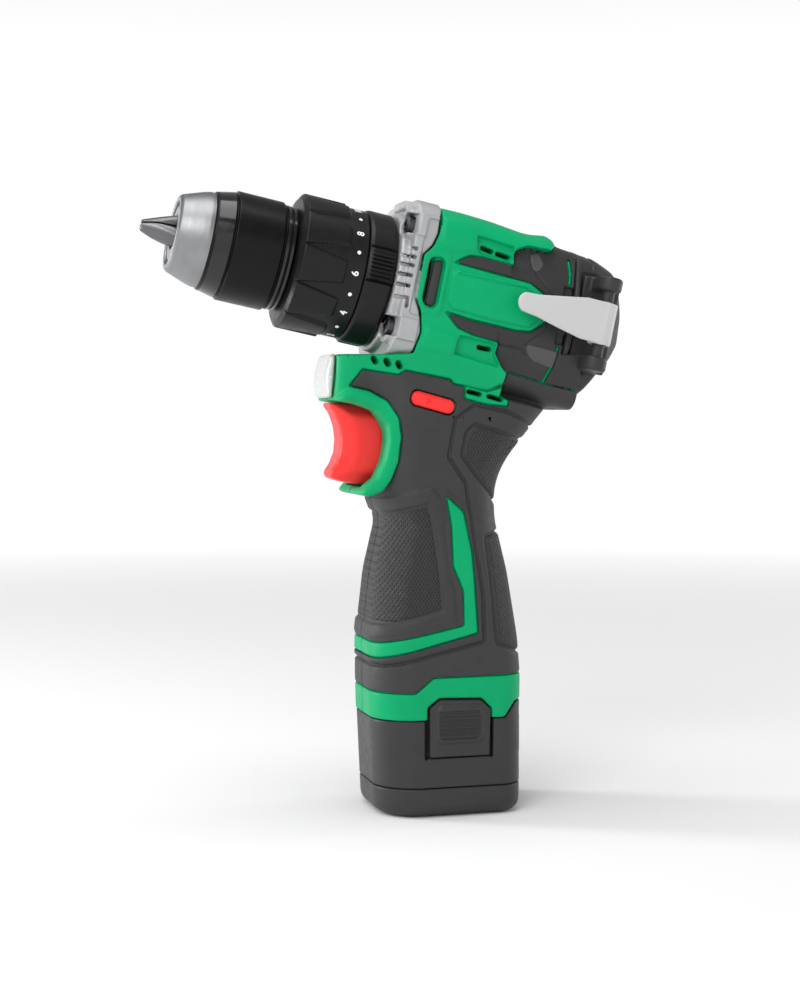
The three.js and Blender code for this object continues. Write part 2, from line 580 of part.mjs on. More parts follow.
/** A jaw's round bar, leaning in towards the nose; grown, it is the channel that the jaw slides in. */
function jawBar(radius, from, to, angle) {
  const length = (to - from) / Math.cos(JAW_LEAN);
  const middle = (from + to) / 2;
  const offset = JAW_AXIS_AT_NOSE + (middle - NOSE_FRONT) * Math.tan(JAW_LEAN);
  return new THREE.CylinderGeometry(radius, radius, length, 16)
    .rotateX(JAW_LEAN).translate(0, middle, offset).rotateY(angle);
}

const jawAngles = Array.from({ length: JAW_COUNT }, (_, index) => 2 * Math.PI * index / JAW_COUNT);
const chuckProfile = [
  [5.3, NOSE_FRONT], [5.3, -66], [2.4, -66], [2.4, -64.2], [SHAFT_RADIUS + GAP, -64.2],
  [SHAFT_RADIUS + GAP, SLEEVE_REAR], [CHUCK_CORE, SLEEVE_REAR], [CHUCK_CORE, SLEEVE_FRONT],
  [15.5, SLEEVE_FRONT - GAP],
  [15.3, SLEEVE_FRONT - 1.4], [12.6, NOSE_FRONT + 0.9], [11.8, NOSE_FRONT],
];
piece(head, "chuck_body", STEEL, toGeometry(cut(
  toSolid(turned(chuckProfile)),
  ...jawAngles.map((angle) => toSolid(jawBar(JAW_RADIUS + GAP, -110, -57.2, angle))),
)));
piece(head, "chuck_screw", DARK_STEEL, turned(
  [[0, -69.4], [3.6, -69.4], [3.6, -66.3], [2.1, -66.3], [2.1, -64], [0, -64]], 12));
piece(head, "chuck_sleeve", GLOSS_BLACK, turned([
  [SLEEVE_BORE, SLEEVE_FRONT], [15.2, SLEEVE_FRONT], [15.9, SLEEVE_FRONT + 0.7], [17.3, SLEEVE_BAND],
  [SLEEVE_RADIUS, SLEEVE_BAND + 0.6], [SLEEVE_RADIUS, SLEEVE_RINGS - 0.5], [17.1, SLEEVE_RINGS],
  [17.1, SLEEVE_REAR], [SLEEVE_BORE, SLEEVE_REAR], [SLEEVE_BORE, SLEEVE_REAR - 1.4],
  [SLEEVE_HOLLOW, SLEEVE_REAR - 1.4],
  [SLEEVE_HOLLOW, SLEEVE_BAND], [14.4, SLEEVE_FRONT + 1.6], [SLEEVE_BORE, SLEEVE_FRONT + 1.6],
]));
piece(head, "jaw_nut", DARK_STEEL, ring(SLEEVE_HOLLOW - 0.4, CHUCK_CORE + 0.4, -72.6, -69.6));

const tipCone = toSolid(turned(
  [[0, JAW_TIP - 0.2], [1, JAW_TIP], [5.4, NOSE_FRONT], [12, -60], [0, -60]], SHAFT_SIDES));
// A third of the space round the axis, kept clear of its neighbours.
const THIRD_REACH = 40;
const thirdOutline = [[0, 0], [1, 0.5], [0, 2], [-1, 0.5]].map(([across, out]) => new THREE.Vector2(
  across * THIRD_REACH * Math.sin(Math.PI / 3), out * THIRD_REACH + 2 * SLIM_GAP));
jawAngles.forEach((angle, index) => {
  const third = new THREE.ExtrudeGeometry(new THREE.Shape(thirdOutline), { depth: FAR, bevelEnabled: false })
    .rotateX(Math.PI / 2).rotateY(angle);
  piece(head, `jaw_${index + 1}`, STEEL, toGeometry(
    toSolid(jawBar(JAW_RADIUS, -112, JAW_REAR, angle)).intersect(toSolid(third)).intersect(tipCone)));
});

// ---- Motor ----
piece(head, "motor_stator", DARK_STEEL, ring(18.3, 11.6, 8, 31, 28));
piece(head, "motor_front_plate", BLACK, ring(18.3, 3.2, 4.4, 6, 28));
piece(head, "motor_rotor", STEEL, toGeometry(join(
  toSolid(rod(11, 7.6, 32, 24)), toSolid(rod(2.4, 0, 50)), sunGear(0.5, 7.4),
  toSolid(rod(15.5, 35.5, 40, 24)))));
piece(head, "rear_bearing", STEEL, ring(4.1, 2.7, 47, 50.4, 14));

// ---- Speed selector on the roof ----
piece(head, "speed_selector", RED, toGeometry(join(
  toSolid(box(-SPEED_HALF_WIDTH, SPEED_HALF_WIDTH, -1.2, 7.2, 24.4, 26.9)),
  toSolid(box(-3, 3, 1, 5, 21.3, 25)))));

// ---- Trigger group ----
piece(drill, "trigger", RED, sidePlate(TRIGGER_OUTLINE, -TRIGGER_HALF_WIDTH, TRIGGER_HALF_WIDTH));
const SWITCH_FRONT = -9.2;
const SPRING_CENTRE = 122;
const SPRING_SEAT = -5;
const springAxis = (geometry) => geometry.translate(0, 0, SPRING_CENTRE);
piece(drill, "switch_module", BLACK, toGeometry(cut(
  toSolid(box(-8, 8, SWITCH_FRONT, 7, 110.5, 130.5)),
  toSolid(springAxis(rod(3.4, -20, SPRING_SEAT))))));
piece(drill, "trigger_spring", STEEL, springAxis(spring(2.4, 0.45, -16.5, SPRING_SEAT - 0.7, 4, 8, 5)));
piece(drill, "direction_button", RED, buttonBar(0, 23));
piece(drill, "control_board", BOARD, box(-11, 11, -12, 8, 91, 92.8));
piece(drill, "terminal_block", BLACK, box(-10, 10, -11.5, 7.5, 84.2, 89));

// ---- Work light ----
piece(drill, "led_lens", LENS, sidePlate(LENS_OUTLINE.map(([y, z]) => [y - 0.2, z]), -9, 9));
piece(drill, "led_board", BOARD, box(-7, 7, -34.4, -33, 141, 149.2));

// ---- Battery: case with a stem, base cap, three cells, contacts and two latch buttons ----
const BATTERY = [
  [0, -23.4, 22.6, 20.1, 13, 7], [2, -24.6, 23.8, 21.2, 14, 8],
  [BATTERY_SEAM, -25.0, 24.1, 21.5, 14, 8.5], [BATTERY_TOP, -26.0, 24.1, 21.6, 14, 9],
];
const latchPocket = (side) => toSolid(box(
  Math.min(side * 19, side * 30), Math.max(side * 19, side * 30), -9.7, 11.5, 19.4, 40));
const caseOuter = join(
  toSolid(handleLoft([[BATTERY_SEAM + SLIM_GAP, ...BATTERY[2].slice(1)], BATTERY[3]])),
  toSolid(prism(stemLoop(0), BATTERY_TOP - 1, STEM_TOP)));
piece(drill, "battery_case", BLACK, toGeometry(cut(
  caseOuter, toSolid(prism(stemLoop(-0.8), 0, STEM_TOP - 0.8)), latchPocket(1), latchPocket(-1))));
piece(drill, "battery_base_cap", BLACK, handleLoft(
  [...BATTERY.slice(0, 2), [BATTERY_SEAM - SLIM_GAP, ...BATTERY[2].slice(1)]]));
const cellPlaces = [[0, -11.9], [9.2, 4.2], [-9.2, 4.2]];
cellPlaces.forEach(([x, y], index) => {
  piece(drill, `battery_cell_${index + 1}`, CELL_WRAP,
    new THREE.CylinderGeometry(CELL_RADIUS, CELL_RADIUS, CELL_LENGTH, 20)
      .rotateX(Math.PI / 2).translate(x, y, BATTERY_SEAM + 0.6 + CELL_LENGTH / 2));
});
piece(drill, "battery_contacts", BRASS, box(-8, 8, -9.5, 5.5, STEM_TOP + GAP, 83.6));

const LATCH_OUTLINE = [
  [-9.3, 19.8], [11.1, 19.8], [11.1, 35.4], [8, 38.9], [-6.2, 38.9], [-9.3, 35.9],
];
for (const [name, side] of [["latch_left", 1], ["latch_right", -1]]) {
  const inner = side * (19 + LATCH_TRAVEL + GAP);
  piece(drill, name, BLACK, sidePlate(
    LATCH_OUTLINE, Math.min(inner, side * LATCH_FACE), Math.max(inner, side * LATCH_FACE)));
}

export default drill;
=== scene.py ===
"""Looks of a compact cordless drill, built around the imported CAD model. Lengths here are in millimetres."""
import math

import bmesh
import bpy
import numpy as np
from mathutils import Matrix, Vector


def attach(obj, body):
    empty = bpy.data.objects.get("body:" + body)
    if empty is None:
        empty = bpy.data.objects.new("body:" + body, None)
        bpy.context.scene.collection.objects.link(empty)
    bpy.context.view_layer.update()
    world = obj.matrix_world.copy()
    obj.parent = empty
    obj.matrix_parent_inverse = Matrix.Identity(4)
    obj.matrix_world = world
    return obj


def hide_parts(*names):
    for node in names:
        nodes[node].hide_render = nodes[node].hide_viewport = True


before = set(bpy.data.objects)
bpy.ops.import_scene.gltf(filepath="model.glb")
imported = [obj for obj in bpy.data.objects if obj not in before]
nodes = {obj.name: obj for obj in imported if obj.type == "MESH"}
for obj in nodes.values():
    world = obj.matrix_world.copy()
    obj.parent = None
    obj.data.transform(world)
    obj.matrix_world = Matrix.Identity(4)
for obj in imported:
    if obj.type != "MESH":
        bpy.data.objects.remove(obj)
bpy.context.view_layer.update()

MM = 0.001
TILT = math.radians(12)                 # the drill axis leans nose-up
COS, SIN = math.cos(TILT), math.sin(TILT)
HEAD_HEIGHT = 171.5                     # drill axis above the base at y = 0
HEAD_MATRIX = Matrix.Translation((0, 0, HEAD_HEIGHT * MM)) @ Matrix.Rotation(-TILT, 4, "X")
SIDES = (("left", False), ("right", True))
FOLD_PASSES = 6                         # tries at turning folded triangles
FLAT_WOBBLE = 0.03                      # in grid cells: keeps the thinning steady on dead flat faces
LENS_MM = 64.51
CAMERA_TURN, CAMERA_LIFT = 74.55, 3.0   # degrees round from the nose, and above level
CAMERA_AIM = (0, -0.01326, 0.10339)     # metres
CAMERA_FAR = 0.6                        # metres from the place it aims at


def grid_step(full):
    return full


FINE = grid_step(0.4)              # spacing for the large moulded pieces


# ---- Distance fields: below zero inside a shape, above zero outside ----
class Grid:
    """A box of evenly spaced points, with the drill's own axes laid over it. Tilted, it lies along them."""

    def __init__(self, low, high, step, tilted=False):
        self.step = step
        self.tilted = tilted
        self.low = np.array(low, np.float64)
        counts = [int(math.ceil((b - a) / step)) + 1 for a, b in zip(low, high)]
        axes = [np.float32(a) + np.float32(step) * np.arange(n, dtype=np.float32)
                for a, n in zip(low, counts)]
        self.x = axes[0][:, None, None]
        along, above = axes[1][None, :, None], axes[2][None, None, :]
        if tilted:
            self.v, self.w = along, above
            self.y = along * COS + above * SIN
            self.z = HEAD_HEIGHT - along * SIN + above * COS
        else:
            self.y, self.z = along, above
            self.v = along * COS - (above - HEAD_HEIGHT) * SIN
            self.w = along * SIN + (above - HEAD_HEIGHT) * COS

    def side(self, points, soft=0.0):
        """Distance to a closed outline drawn on y and z."""
        return outline(points, self.y, self.z, soft, self.step)

    def head(self, points, soft=0.0):
        """Distance to a closed outline drawn along and above the drill axis."""
        return outline(points, self.v, self.w, soft, self.step)

    def radius(self):
        """Distance from the drill axis."""
        return np.sqrt(self.x ** 2 + self.w ** 2)


def smin(a, b, k):
    """The nearer of two shapes, blended over a width k."""
    h = np.maximum(k - np.abs(a - b), 0) / k
    return np.minimum(a, b) - h * h * (k * 0.25)


def smax(a, b, k):
    """The part that two shapes share, blended over a width k."""
    return -smin(-a, -b, k)


def blur(field, cells):
    """Evens out a side-view field, which rounds the corners of its outline."""
    n = int(round(cells))
    if n < 1:
        return field
    out = field
    for axis in (1, 2):
        pad = [(0, 0)] * 3
        pad[axis] = (n, n)
        wide = np.pad(out, pad, mode="edge")
        size = out.shape[axis]
        out = sum(np.take(wide, range(k, k + size), axis) for k in range(2 * n + 1)) / (2 * n + 1)
    return out.astype(np.float32)


def outline(points, u, t, soft=0.0, step=1.0):
    """Distance to a closed outline drawn on two coordinates."""
    shape = np.broadcast(u, t).shape
    best = np.full(shape, 1e9, np.float32)
    inside = np.zeros(shape, bool)
    for (au, at), (bu, bt) in zip(points, list(points[1:]) + [points[0]]):
        du, dt = bu - au, bt - at
        share = np.clip(((u - au) * du + (t - at) * dt) / (du * du + dt * dt), 0, 1)
        best = np.minimum(best, (u - au - share * du) ** 2 + (t - at - share * dt) ** 2)
        if at != bt:
            inside ^= ((at > t) != (bt > t)) & (u < au + du * (t - at) / dt)
    return blur(np.where(inside, -np.sqrt(best), np.sqrt(best)), soft / step)


def track(points, u, t):
    """Distance to an open line drawn on two coordinates."""
    best = np.full(np.broadcast(u, t).shape, 1e9, np.float32)
    for (au, at), (bu, bt) in zip(points, points[1:]):
        du, dt = bu - au, bt - at
        share = np.clip(((u - au) * du + (t - at) * dt) / (du * du + dt * dt), 0, 1)
        best = np.minimum(best, (u - au - share * du) ** 2 + (t - at - share * dt) ** 2)
    return np.sqrt(best)


def plateau(distance, width):
    """1 inside an outline and 0 outside, with a ramp of this width at its edge."""
    share = np.clip(0.5 - distance / width, 0, 1)
    return share * share * (3 - 2 * share)


def groove(distance, half_width):
    """A rounded channel: 1 on its middle line, 0 at its edges."""
    share = np.clip(1 - (distance / half_width) ** 2, 0, 1)
    return share * share


def table(at, rows, column, reach=2.5):
    """A column of a table of sections, read along its first column and smoothed."""
    keys = [row[0] for row in rows]
    values = [row[column] for row in rows]
    steps = np.linspace(-reach, reach, 7)
    return (sum(np.interp(at + s, keys, values) for s in steps) / len(steps)).astype(np.float32)


def rounded_box(across, along, half, low, high, low_radius, high_radius):
    """A rounded rectangle with its own corner radius at its low and high ends."""
    middle = (low + high) / 2
    radius = np.where(along < middle, low_radius, high_radius)
    qa = np.abs(across) - half + radius
    qb = np.abs(along - middle) - (high - low) / 2 + radius
    outer = np.sqrt(np.maximum(qa, 0) ** 2 + np.maximum(qb, 0) ** 2)
    return outer + np.minimum(np.maximum(qa, qb), 0) - radius


# ---- Meshes from fields ----
def sample(field, p):
    """Field values between grid points; p is in grid cells."""
    top = np.array(field.shape) - 2
    base = np.clip(np.floor(p).astype(np.int64), 0, top)
    f = p - base
    i, j, k = base.T
    total = 0.0
    for a in (0, 1):
        for b in (0, 1):
            for c in (0, 1):
                weight = (f[:, 0] if a else 1 - f[:, 0]) * (f[:, 1] if b else 1 - f[:, 1])
                total = total + weight * (f[:, 2] if c else 1 - f[:, 2]) * field[i + a, j + b, k + c]
    return total


def slope(field, p, reach=0.6):
    """The direction in which the field rises fastest."""
    out = np.zeros_like(p)
    for axis in range(3):
        d = np.zeros(3)
        d[axis] = reach
        out[:, axis] = sample(field, p + d) - sample(field, p - d)
    size = np.linalg.norm(out, axis=1, keepdims=True)
    return out / np.maximum(size, 1e-9)


def nets(field):
    """Surface nets: one corner in each cell that the surface crosses, in grid cells, and quads."""
    cells = np.array(field.shape) - 1
    stride = np.array([cells[1] * cells[2], cells[2], 1])
    quads, points = [], []
    for axis in range(3):
        u, v = (axis + 1) % 3, (axis + 2) % 3
        n = field.shape[axis]
        a = np.take(field, range(0, n - 1), axis)
        b = np.take(field, range(1, n), axis)
        cross = (a < 0) != (b < 0)
        where = np.argwhere(cross)
        fa, fb = a[cross], b[cross]
        keep = (where[:, u] > 0) & (where[:, v] > 0) & (where[:, u] < cells[u]) & (where[:, v] < cells[v])
        where, fa, fb = where[keep], fa[keep], fb[keep]
        p = where.astype(np.float64)
        p[:, axis] += fa / (fa - fb)
        home = where @ stride
        du, dv = stride[u], stride[v]
        corners = np.stack([home - du - dv, home - dv, home, home - du], 1)
        flip = fa > 0
        corners[flip] = corners[flip][:, ::-1]
        quads.append(corners)
        points.append(np.repeat(p[:, None, :], 4, 1))
    quads, points = np.concatenate(quads), np.concatenate(points)
    used, index = np.unique(quads.ravel(), return_inverse=True)
    index = index.ravel()
    count = np.bincount(index)
    flat = points.reshape(-1, 3)
    place = np.stack([np.bincount(index, flat[:, k]) / count for k in range(3)], 1)
    return place, index.reshape(-1, 4)


def mesh_of(name, corners, faces):
    """A smooth mesh from arrays of corners, in millimetres, and faces with equal numbers of sides."""
    mesh = bpy.data.meshes.new(name)
    sides = faces.shape[1]
    mesh.vertices.add(len(corners))
    mesh.vertices.foreach_set("co", (corners * MM).astype(np.float32).ravel())
    mesh.loops.add(faces.size)
    mesh.loops.foreach_set("vertex_index", faces.astype(np.int32).ravel())
    mesh.polygons.add(len(faces))
    mesh.polygons.foreach_set("loop_start", np.arange(0, faces.size, sides, dtype=np.int32))
    mesh.polygons.foreach_set("loop_total", np.full(len(faces), sides, np.int32))
    mesh.update(calc_edges=True)
    mesh.polygons.foreach_set("use_smooth", np.ones(len(mesh.polygons), bool))
    return mesh


def corners_of(mesh):
    """A mesh's corners, in metres."""
    flat = np.zeros(len(mesh.vertices) * 3, np.float32)
    mesh.vertices.foreach_get("co", flat)
    return flat.reshape(-1, 3).astype(np.float64)


def triangles_of(mesh):
    """The corner numbers of a mesh that holds triangles alone."""
    loops = np.zeros(len(mesh.loops), np.int32)
    mesh.loops.foreach_get("vertex_index", loops)
    return loops.reshape(-1, 3)


def link(name, mesh):
    """A new object in the scene."""
    obj = bpy.data.objects.new(name, mesh)
    bpy.context.scene.collection.objects.link(obj)
    return obj


def thinned(name, mesh, share):
    """The mesh in triangles, with fewer of them where it is flat."""
    helper = link(name + "_helper", mesh)
    modifier = helper.modifiers.new("thin", "DECIMATE")
    modifier.ratio = share
    helper.modifiers.new("triangles", "TRIANGULATE")
    graph = bpy.context.evaluated_depsgraph_get()
    out = bpy.data.meshes.new_from_object(helper.evaluated_get(graph))
    bpy.data.objects.remove(helper)
    return out


def unfolded(mesh, field):
    """Turns the longest edge of each triangle that the thinning left facing the wrong way."""
    for _ in range(FOLD_PASSES):
        corners, triangles = corners_of(mesh), triangles_of(mesh)
        a, b, c = (corners[triangles[:, k]] for k in range(3))
        outward = slope(field, corners)[triangles].sum(1)
        wrong = np.where((np.cross(b - a, c - a) * outward).sum(1) < 0)[0]
        if not len(wrong):
            break
        shape = bmesh.new()
        shape.from_mesh(mesh)
        shape.faces.ensure_lookup_table()
        longest = [max(shape.faces[i].edges, key=lambda edge: edge.calc_length()) for i in wrong]
        bmesh.ops.rotate_edges(shape, edges=list(dict.fromkeys(longest)), use_ccw=False)
        shape.to_mesh(mesh)
        shape.free()


def moulded(grid, field, share=0.35):
    """The closed surface of a field as (corners in millimetres, triangles, normals)."""
    field = field.astype(np.float32)
    for axis in range(3):
        edge = [slice(None)] * 3
        for end in (0, -1):
            edge[axis] = end
            field[tuple(edge)] = np.maximum(field[tuple(edge)], grid.step)
    place, quads = nets(field)
    wobble = FLAT_WOBBLE * np.sin(place[:, [1, 2, 0]] * 0.9 + place[:, [2, 0, 1]] * 0.5)
    dense = mesh_of("moulded", (place + wobble) / MM, quads)
    dense.validate()
    mesh = thinned("moulded", dense, share)
    unfolded(mesh, field)
    corners, triangles = corners_of(mesh), triangles_of(mesh)
    bpy.data.meshes.remove(mesh)
    for _ in range(2):
        step = np.clip(sample(field, corners) / grid.step, -0.4, 0.4)
        corners = corners - slope(field, corners) * step[:, None]
    normals = slope(field, corners)
    corners = corners * grid.step + grid.low
    if grid.tilted:
        turn = np.array([[1, 0, 0], [0, COS, SIN], [0, -SIN, COS]])
        corners = corners @ turn.T + [0, 0, HEAD_HEIGHT]
        normals = normals @ turn.T
    return corners, triangles, normals


def solid_piece(name, shape, mirror=False):
    """An object from moulded(); mirrored, it is the right-hand copy of a left-hand shape."""
    corners, triangles, normals = shape
    if mirror:
        corners, normals = corners * [-1, 1, 1], normals * [-1, 1, 1]
        triangles = triangles[:, ::-1]
    mesh = mesh_of(name, corners, triangles)
    mesh.normals_split_custom_set_from_vertices(normals.astype(np.float32))
    return link(name, mesh)


# ---- Outlines of the moulded housing, seen from the side ----
# Two numbers are y and z; outlines named HEAD_ are drawn along and above the tilted drill axis.
HANDLE = [
    # height, front, rear, half width, front radius, rear radius
    (28, -26.2, 24.2, 21.6, 14, 9), (46, -26.6, 24.6, 21.8, 14, 10), (58, -26.3, 24.2, 21.7, 14, 12),
    (80, -24.0, 20.8, 21.5, 15, 13), (97, -20.4, 17.0, 20.0, 15, 13), (106, -23.6, 17.0, 19.0, 13, 13),
    (112, -24.5, 18.6, 18.6, 11, 13), (118, -22.6, 21.8, 18.6, 10, 13), (126, -21.4, 28.4, 19.4, 10, 14),
    (134, -26.5, 35.0, 20.4, 12, 16), (147, -29.0, 26.0, 20.0, 14, 16), (158, -29.0, 26.0, 20.0, 14, 16),
]
HEAD = [
    # along the axis, half width, bottom, top, corner radius
    (-16, 24.9, -24.5, 26.0, 10), (-3, 25.2, -26.5, 26.2, 10), (8, 25.4, -28, 25.8, 10.5),
    (20, 25.4, -30, 24.7, 11), (25, 25.4, -30.6, 25.4, 11.5), (29, 25.2, -31, 26.4, 12),
    (30.4, 25.1, -30.9, 24.6, 12), (31.4, 25.0, -30.7, 23.5, 12), (38, 24.5, -29, 22.9, 12),
    (42, 24.3, -28.4, 22.6, 12),
]
HEAD_SIDE = [
    (-10.4, 40), (-10.4, 24), (-10.9, 21.5), (-10.6, 16.5), (-11.7, 12.2), (-14.2, 8.8), (-13.8, -5.2),
    (-11.6, -8.9), (-9.9, -15.5), (-10.4, -19.3), (-10.4, -60), (38.1, -60), (38.1, 40),
]
NOSE = [
    (-39.0, 137.6), (-38.4, 147), (-37.6, 156.2), (-34.6, 158.6), (-25.3, 158.2), (-15.8, 155.4),
    (-6, 153), (0, 141), (-8, 133.5), (-22, 134.5), (-33, 136.1),
]
NOSE_HALF = 15.6
BOW = [
    (-34.2, 141.2), (-27.9, 139.8), (-22.4, 136.6), (-18.6, 130.7), (-17.5, 124.8), (-18.4, 116.8),
    (-20.8, 110.2), (-23.4, 106.9), (-27.9, 105.2), (-31.0, 106.4), (-28.8, 109.0), (-25.9, 111.2),
    (-22.7, 117.7), (-21.6, 124.0), (-22.1, 129.3), (-26.3, 133.7), (-32.4, 135.8), (-38.3, 136.8),
]
TRIGGER_SLOT = [(-50, 136.4), (-50, 108.3), (-21.7, 108.3), (-12.5, 109.0), (-9.0, 109.0), (-9.0, 136.4)]
LENS = [
    (-37.4, 152.2), (-39.2, 151.2), (-40.8, 146.2), (-41.0, 141.8), (-40.4, 137.6), (-38.6, 137.4),
    (-37.6, 145),
]
GRIP_REGION = [
    (-60, 41.6), (-24.5, 41.3), (-13.8, 41.2), (-7.7, 46.2), (60, 46.5), (60, 136), (31, 142.2),
    (17.7, 146), (16.9, 142.8), (10.4, 139.8), (-0.8, 142.1), (-1.9, 143.5), (-16.9, 146.4),
    (-19.1, 144.9), (-30, 146.8), (-34.4, 141.2),
    (-27.9, 139.8), (-22.4, 136.6), (-18.6, 130.7), (-17.5, 124.8), (-18.4, 116.8), (-20.8, 110.2),
    (-23.4, 106.9), (-27.0, 105.4), (-60, 103),
]
STRIPE = [
    (-2.9, 105.6), (2.9, 100.2), (5.4, 87.1), (7.3, 60.6), (-24.8, 52.6), (-60, 52.4), (-60, 56.6),
    (-24.3, 57.6), (2.5, 63.1), (2.2, 74.7), (-1.1, 82.5), (-1.4, 96),
]
VENT_PATCH = [(3.0, 141.4), (10.6, 139.5), (17.4, 141.6), (18.0, 134.6), (10.4, 135.4), (3.2, 137.2)]
SWITCH_VENTS = [[(4.4, 139.5), (8.2, 138.6)], [(11.2, 138.0), (15.4, 136.8)]]
HEAD_BLACK = [
    (-3.9, 8.7), (0.5, 12.0), (5.2, 12.6), (16.1, 12.4), (15.2, 15.9), (16.2, 17.8), (20, 19.8), (28.4, 20.3),
    (30.2, 22.3), (30.2, 60), (60, 60), (60, -60), (21.2, -60), (21.2, -22.1), (18.9, -20.7),
    (15.8, -16.7), (16.2, -13.1), (7.2, -12.7),
    (1.6, -11.5), (-3.6, -7.2), (5.3, -7.9), (21, -8.0), (25.9, -7.3), (30.2, -3.4), (31.0, 0), (30.4, 3.2),
    (28.0, 5.6), (22.8, 8.0), (9.6, 8.3),
]
HEAD_PANEL = [
    (-4.3, 4.8), (-3.8, -3.8), (-1.8, -6.0), (12.9, -6.6), (24.4, -6.3), (28.6, -2.2), (29.2, 1.2),
    (27.2, 4.2), (22.3, 7.0), (-2.1, 6.6),
]
PANEL_LINE = [(-1.7, 5.4), (21.6, 5.8), (25.6, 3.3), (27.0, 1.0)]
FACET_LINES = [
    [(24.4, 12.0), (31.4, 5.6), (31.4, -5.4), (25.4, -11.8)],
    [(16.6, -13.4), (24.0, -13.0), (27, -14.6)],
]
HEAD_RECESSES = [
    [(2.0, 18.9), (3.7, 13.4), (15.4, 13.1), (14.6, 15.8), (15.4, 18.2)],
    [(2.9, -13.7), (15.6, -13.9), (15.1, -16.8), (18.2, -20.9), (2.4, -19.8)],
]
HEAD_VENTS = [[(4.9, 15.6), (8.0, 15.1)], [(10.2, 14.9), (13.8, 14.6)], [(10.4, -15.9), (13.9, -15.8)]]
WINDOW = [
    (-11.6, 8.7), (-8.0, 9.4), (-6.7, 7.8), (-6.7, -5.8), (-7.9, -7.6), (-10.7, -7.1), (-12.1, -5.0),
    (-12.1, 6.8),
]
WINDOW_FRAME = [(-14.4, -9.4), (-14.4, 11.4), (-5.2, 11.4), (-5.2, -9.4)]
WINDOW_INSERT = [(-10.2, 8.0), (-7.4, 8.6), (-7.1, 7.0), (-7.1, -5.6), (-8.3, -6.9), (-10.4, -6.2)]
HEAD_BLOCKS = [
    [(-9.6, 22.5), (-9.4, 13.6), (-5.6, 12.2), (2.6, 13.6), (1.0, 22.8)],
    [(-8.6, -13.2), (2.0, -14.2), (1.6, -20.8), (-8.6, -20.6)],
]
REAR_DENTS = [(36.9, 8.2, 1.5), (37.2, -7.3, 1.9)]     # along, above, half height
SEAMS = [                               # thin green lines in the dark rear
    [(35.7, 18.6), (36.6, 15.1), (36.6, 10.8)],
    [(36.6, -10.4), (36.6, -16.7), (34.6, -26.3)],
]
# painted highlight: facets on the dark rear that are drawn lighter where they catch the light
PAINTED_LIGHT_FACETS = [
    [(21.7, 17.6), (25.0, 19.0), (27.0, 15.0), (25.2, 12.4), (23.5, 12.4), (22.0, 15.1)],
    [(25.7, -12.3), (26.7, -11.3), (37.0, -11.6), (37.0, -17.2), (29.8, -16.3), (26.9, -14.6)],
]
FRONT_PAD = [
    (-60, 98.6), (-26.4, 99.4), (-22.5, 99.8), (-8.8, 103.3), (-7.3, 97.9), (-4.8, 77.7), (-4.2, 67.8),
    (-19.1, 63.8), (-31.8, 63.3), (-60, 63.0),
]
PAD_FRAME = [
    (-60, 104.0), (-22.8, 104.6), (-7.6, 108.0), (-4.6, 104.6), (-3.6, 97.9), (-4.6, 96.1), (-2.3, 77.8),
    (-1.1, 74.8), (0, 64.4), (-29.2, 58.4), (-60, 58.0),
]
REAR_PAD = [(10.5, 92.0), (15, 93.2), (60, 96), (60, 50), (22.4, 53.4), (14.0, 56.9), (12.4, 72)]
NECK_PAD = [
    (60, 122), (27, 123.6), (19.9, 125.0), (6.8, 128.9), (4.0, 126.2), (2.7, 118.7), (9.7, 109.4),
    (16.6, 102.6), (60, 96),
]
GRIP_GROOVE = [
    (30.5, 127.2), (17.6, 133.1), (6.8, 135.3), (0.1, 130.6), (-1.8, 118.2), (4.1, 109.4), (6.4, 90),
    (9.2, 72.5), (9.6, 57.6), (-22.3, 50.2), (-60, 49.6),
]
REAR_NOTCH = [(16.6, 20), (16.6, 32.2), (20.6, 37.2), (60, 41), (60, 20)]
LATCH = [(-9.7, 17), (-9.7, 36.5), (-5.8, 39.5), (8.5, 39.0), (12.1, 35.5), (11.6, 17)]
HOUSING_FOOT = 32.4
BAR_MIDDLE = (-7.6, 136)                # direction button, y and z
BAR_TILT = math.radians(15)
LENS_DOTS = ((-26.2, 149.7), (-22.4, 148.9), (-18.9, 148.1))
SKIN = 1.1                              # depth of the rubber in the green shell
WALL = 3.2                              # thickness of the housing
GAP = 0.15                              # visible clearance at the edge of each piece
MIDDLE_GAP = 0.08                       # from each half of the housing to the middle plane
LATCH_DEPTH = 18.3                      # from the middle plane to the floor of the latch pockets
MOTOR_BORE = 18.7
FLANGE_TOP = 151.6                      # the casting's front stops the shell above this height
SCREW_LEVELS = (18.3, -15.2)            # gearbox screws, above the drill axis
SCREW_ACROSS = 17.0


def housing_form(g):
    """The smooth outer form of one half of the housing, before any panel or groove."""
    front, rear, half, front_radius, rear_radius = (table(g.z, HANDLE, k) for k in range(1, 6))
    handle = rounded_box(g.x, g.y, half, front, rear, front_radius, rear_radius)
    handle = smax(handle, g.z - 158, 4)
    half, low, high, radius = (table(g.v, HEAD, k) for k in range(1, 5))
    head = rounded_box(g.x, g.w, half, low, high, radius, radius)
    head = np.maximum(head, -15 - g.v)
    nose = smax(g.side(NOSE, 1.2), np.abs(g.x) - NOSE_HALF, 8)
    bow = smax(g.side(BOW, 0.8), np.abs(g.x) - 17.4, 4)
    body = smin(smin(handle, head, 5), nose, 3)
    return smin(body, bow, 1.5)


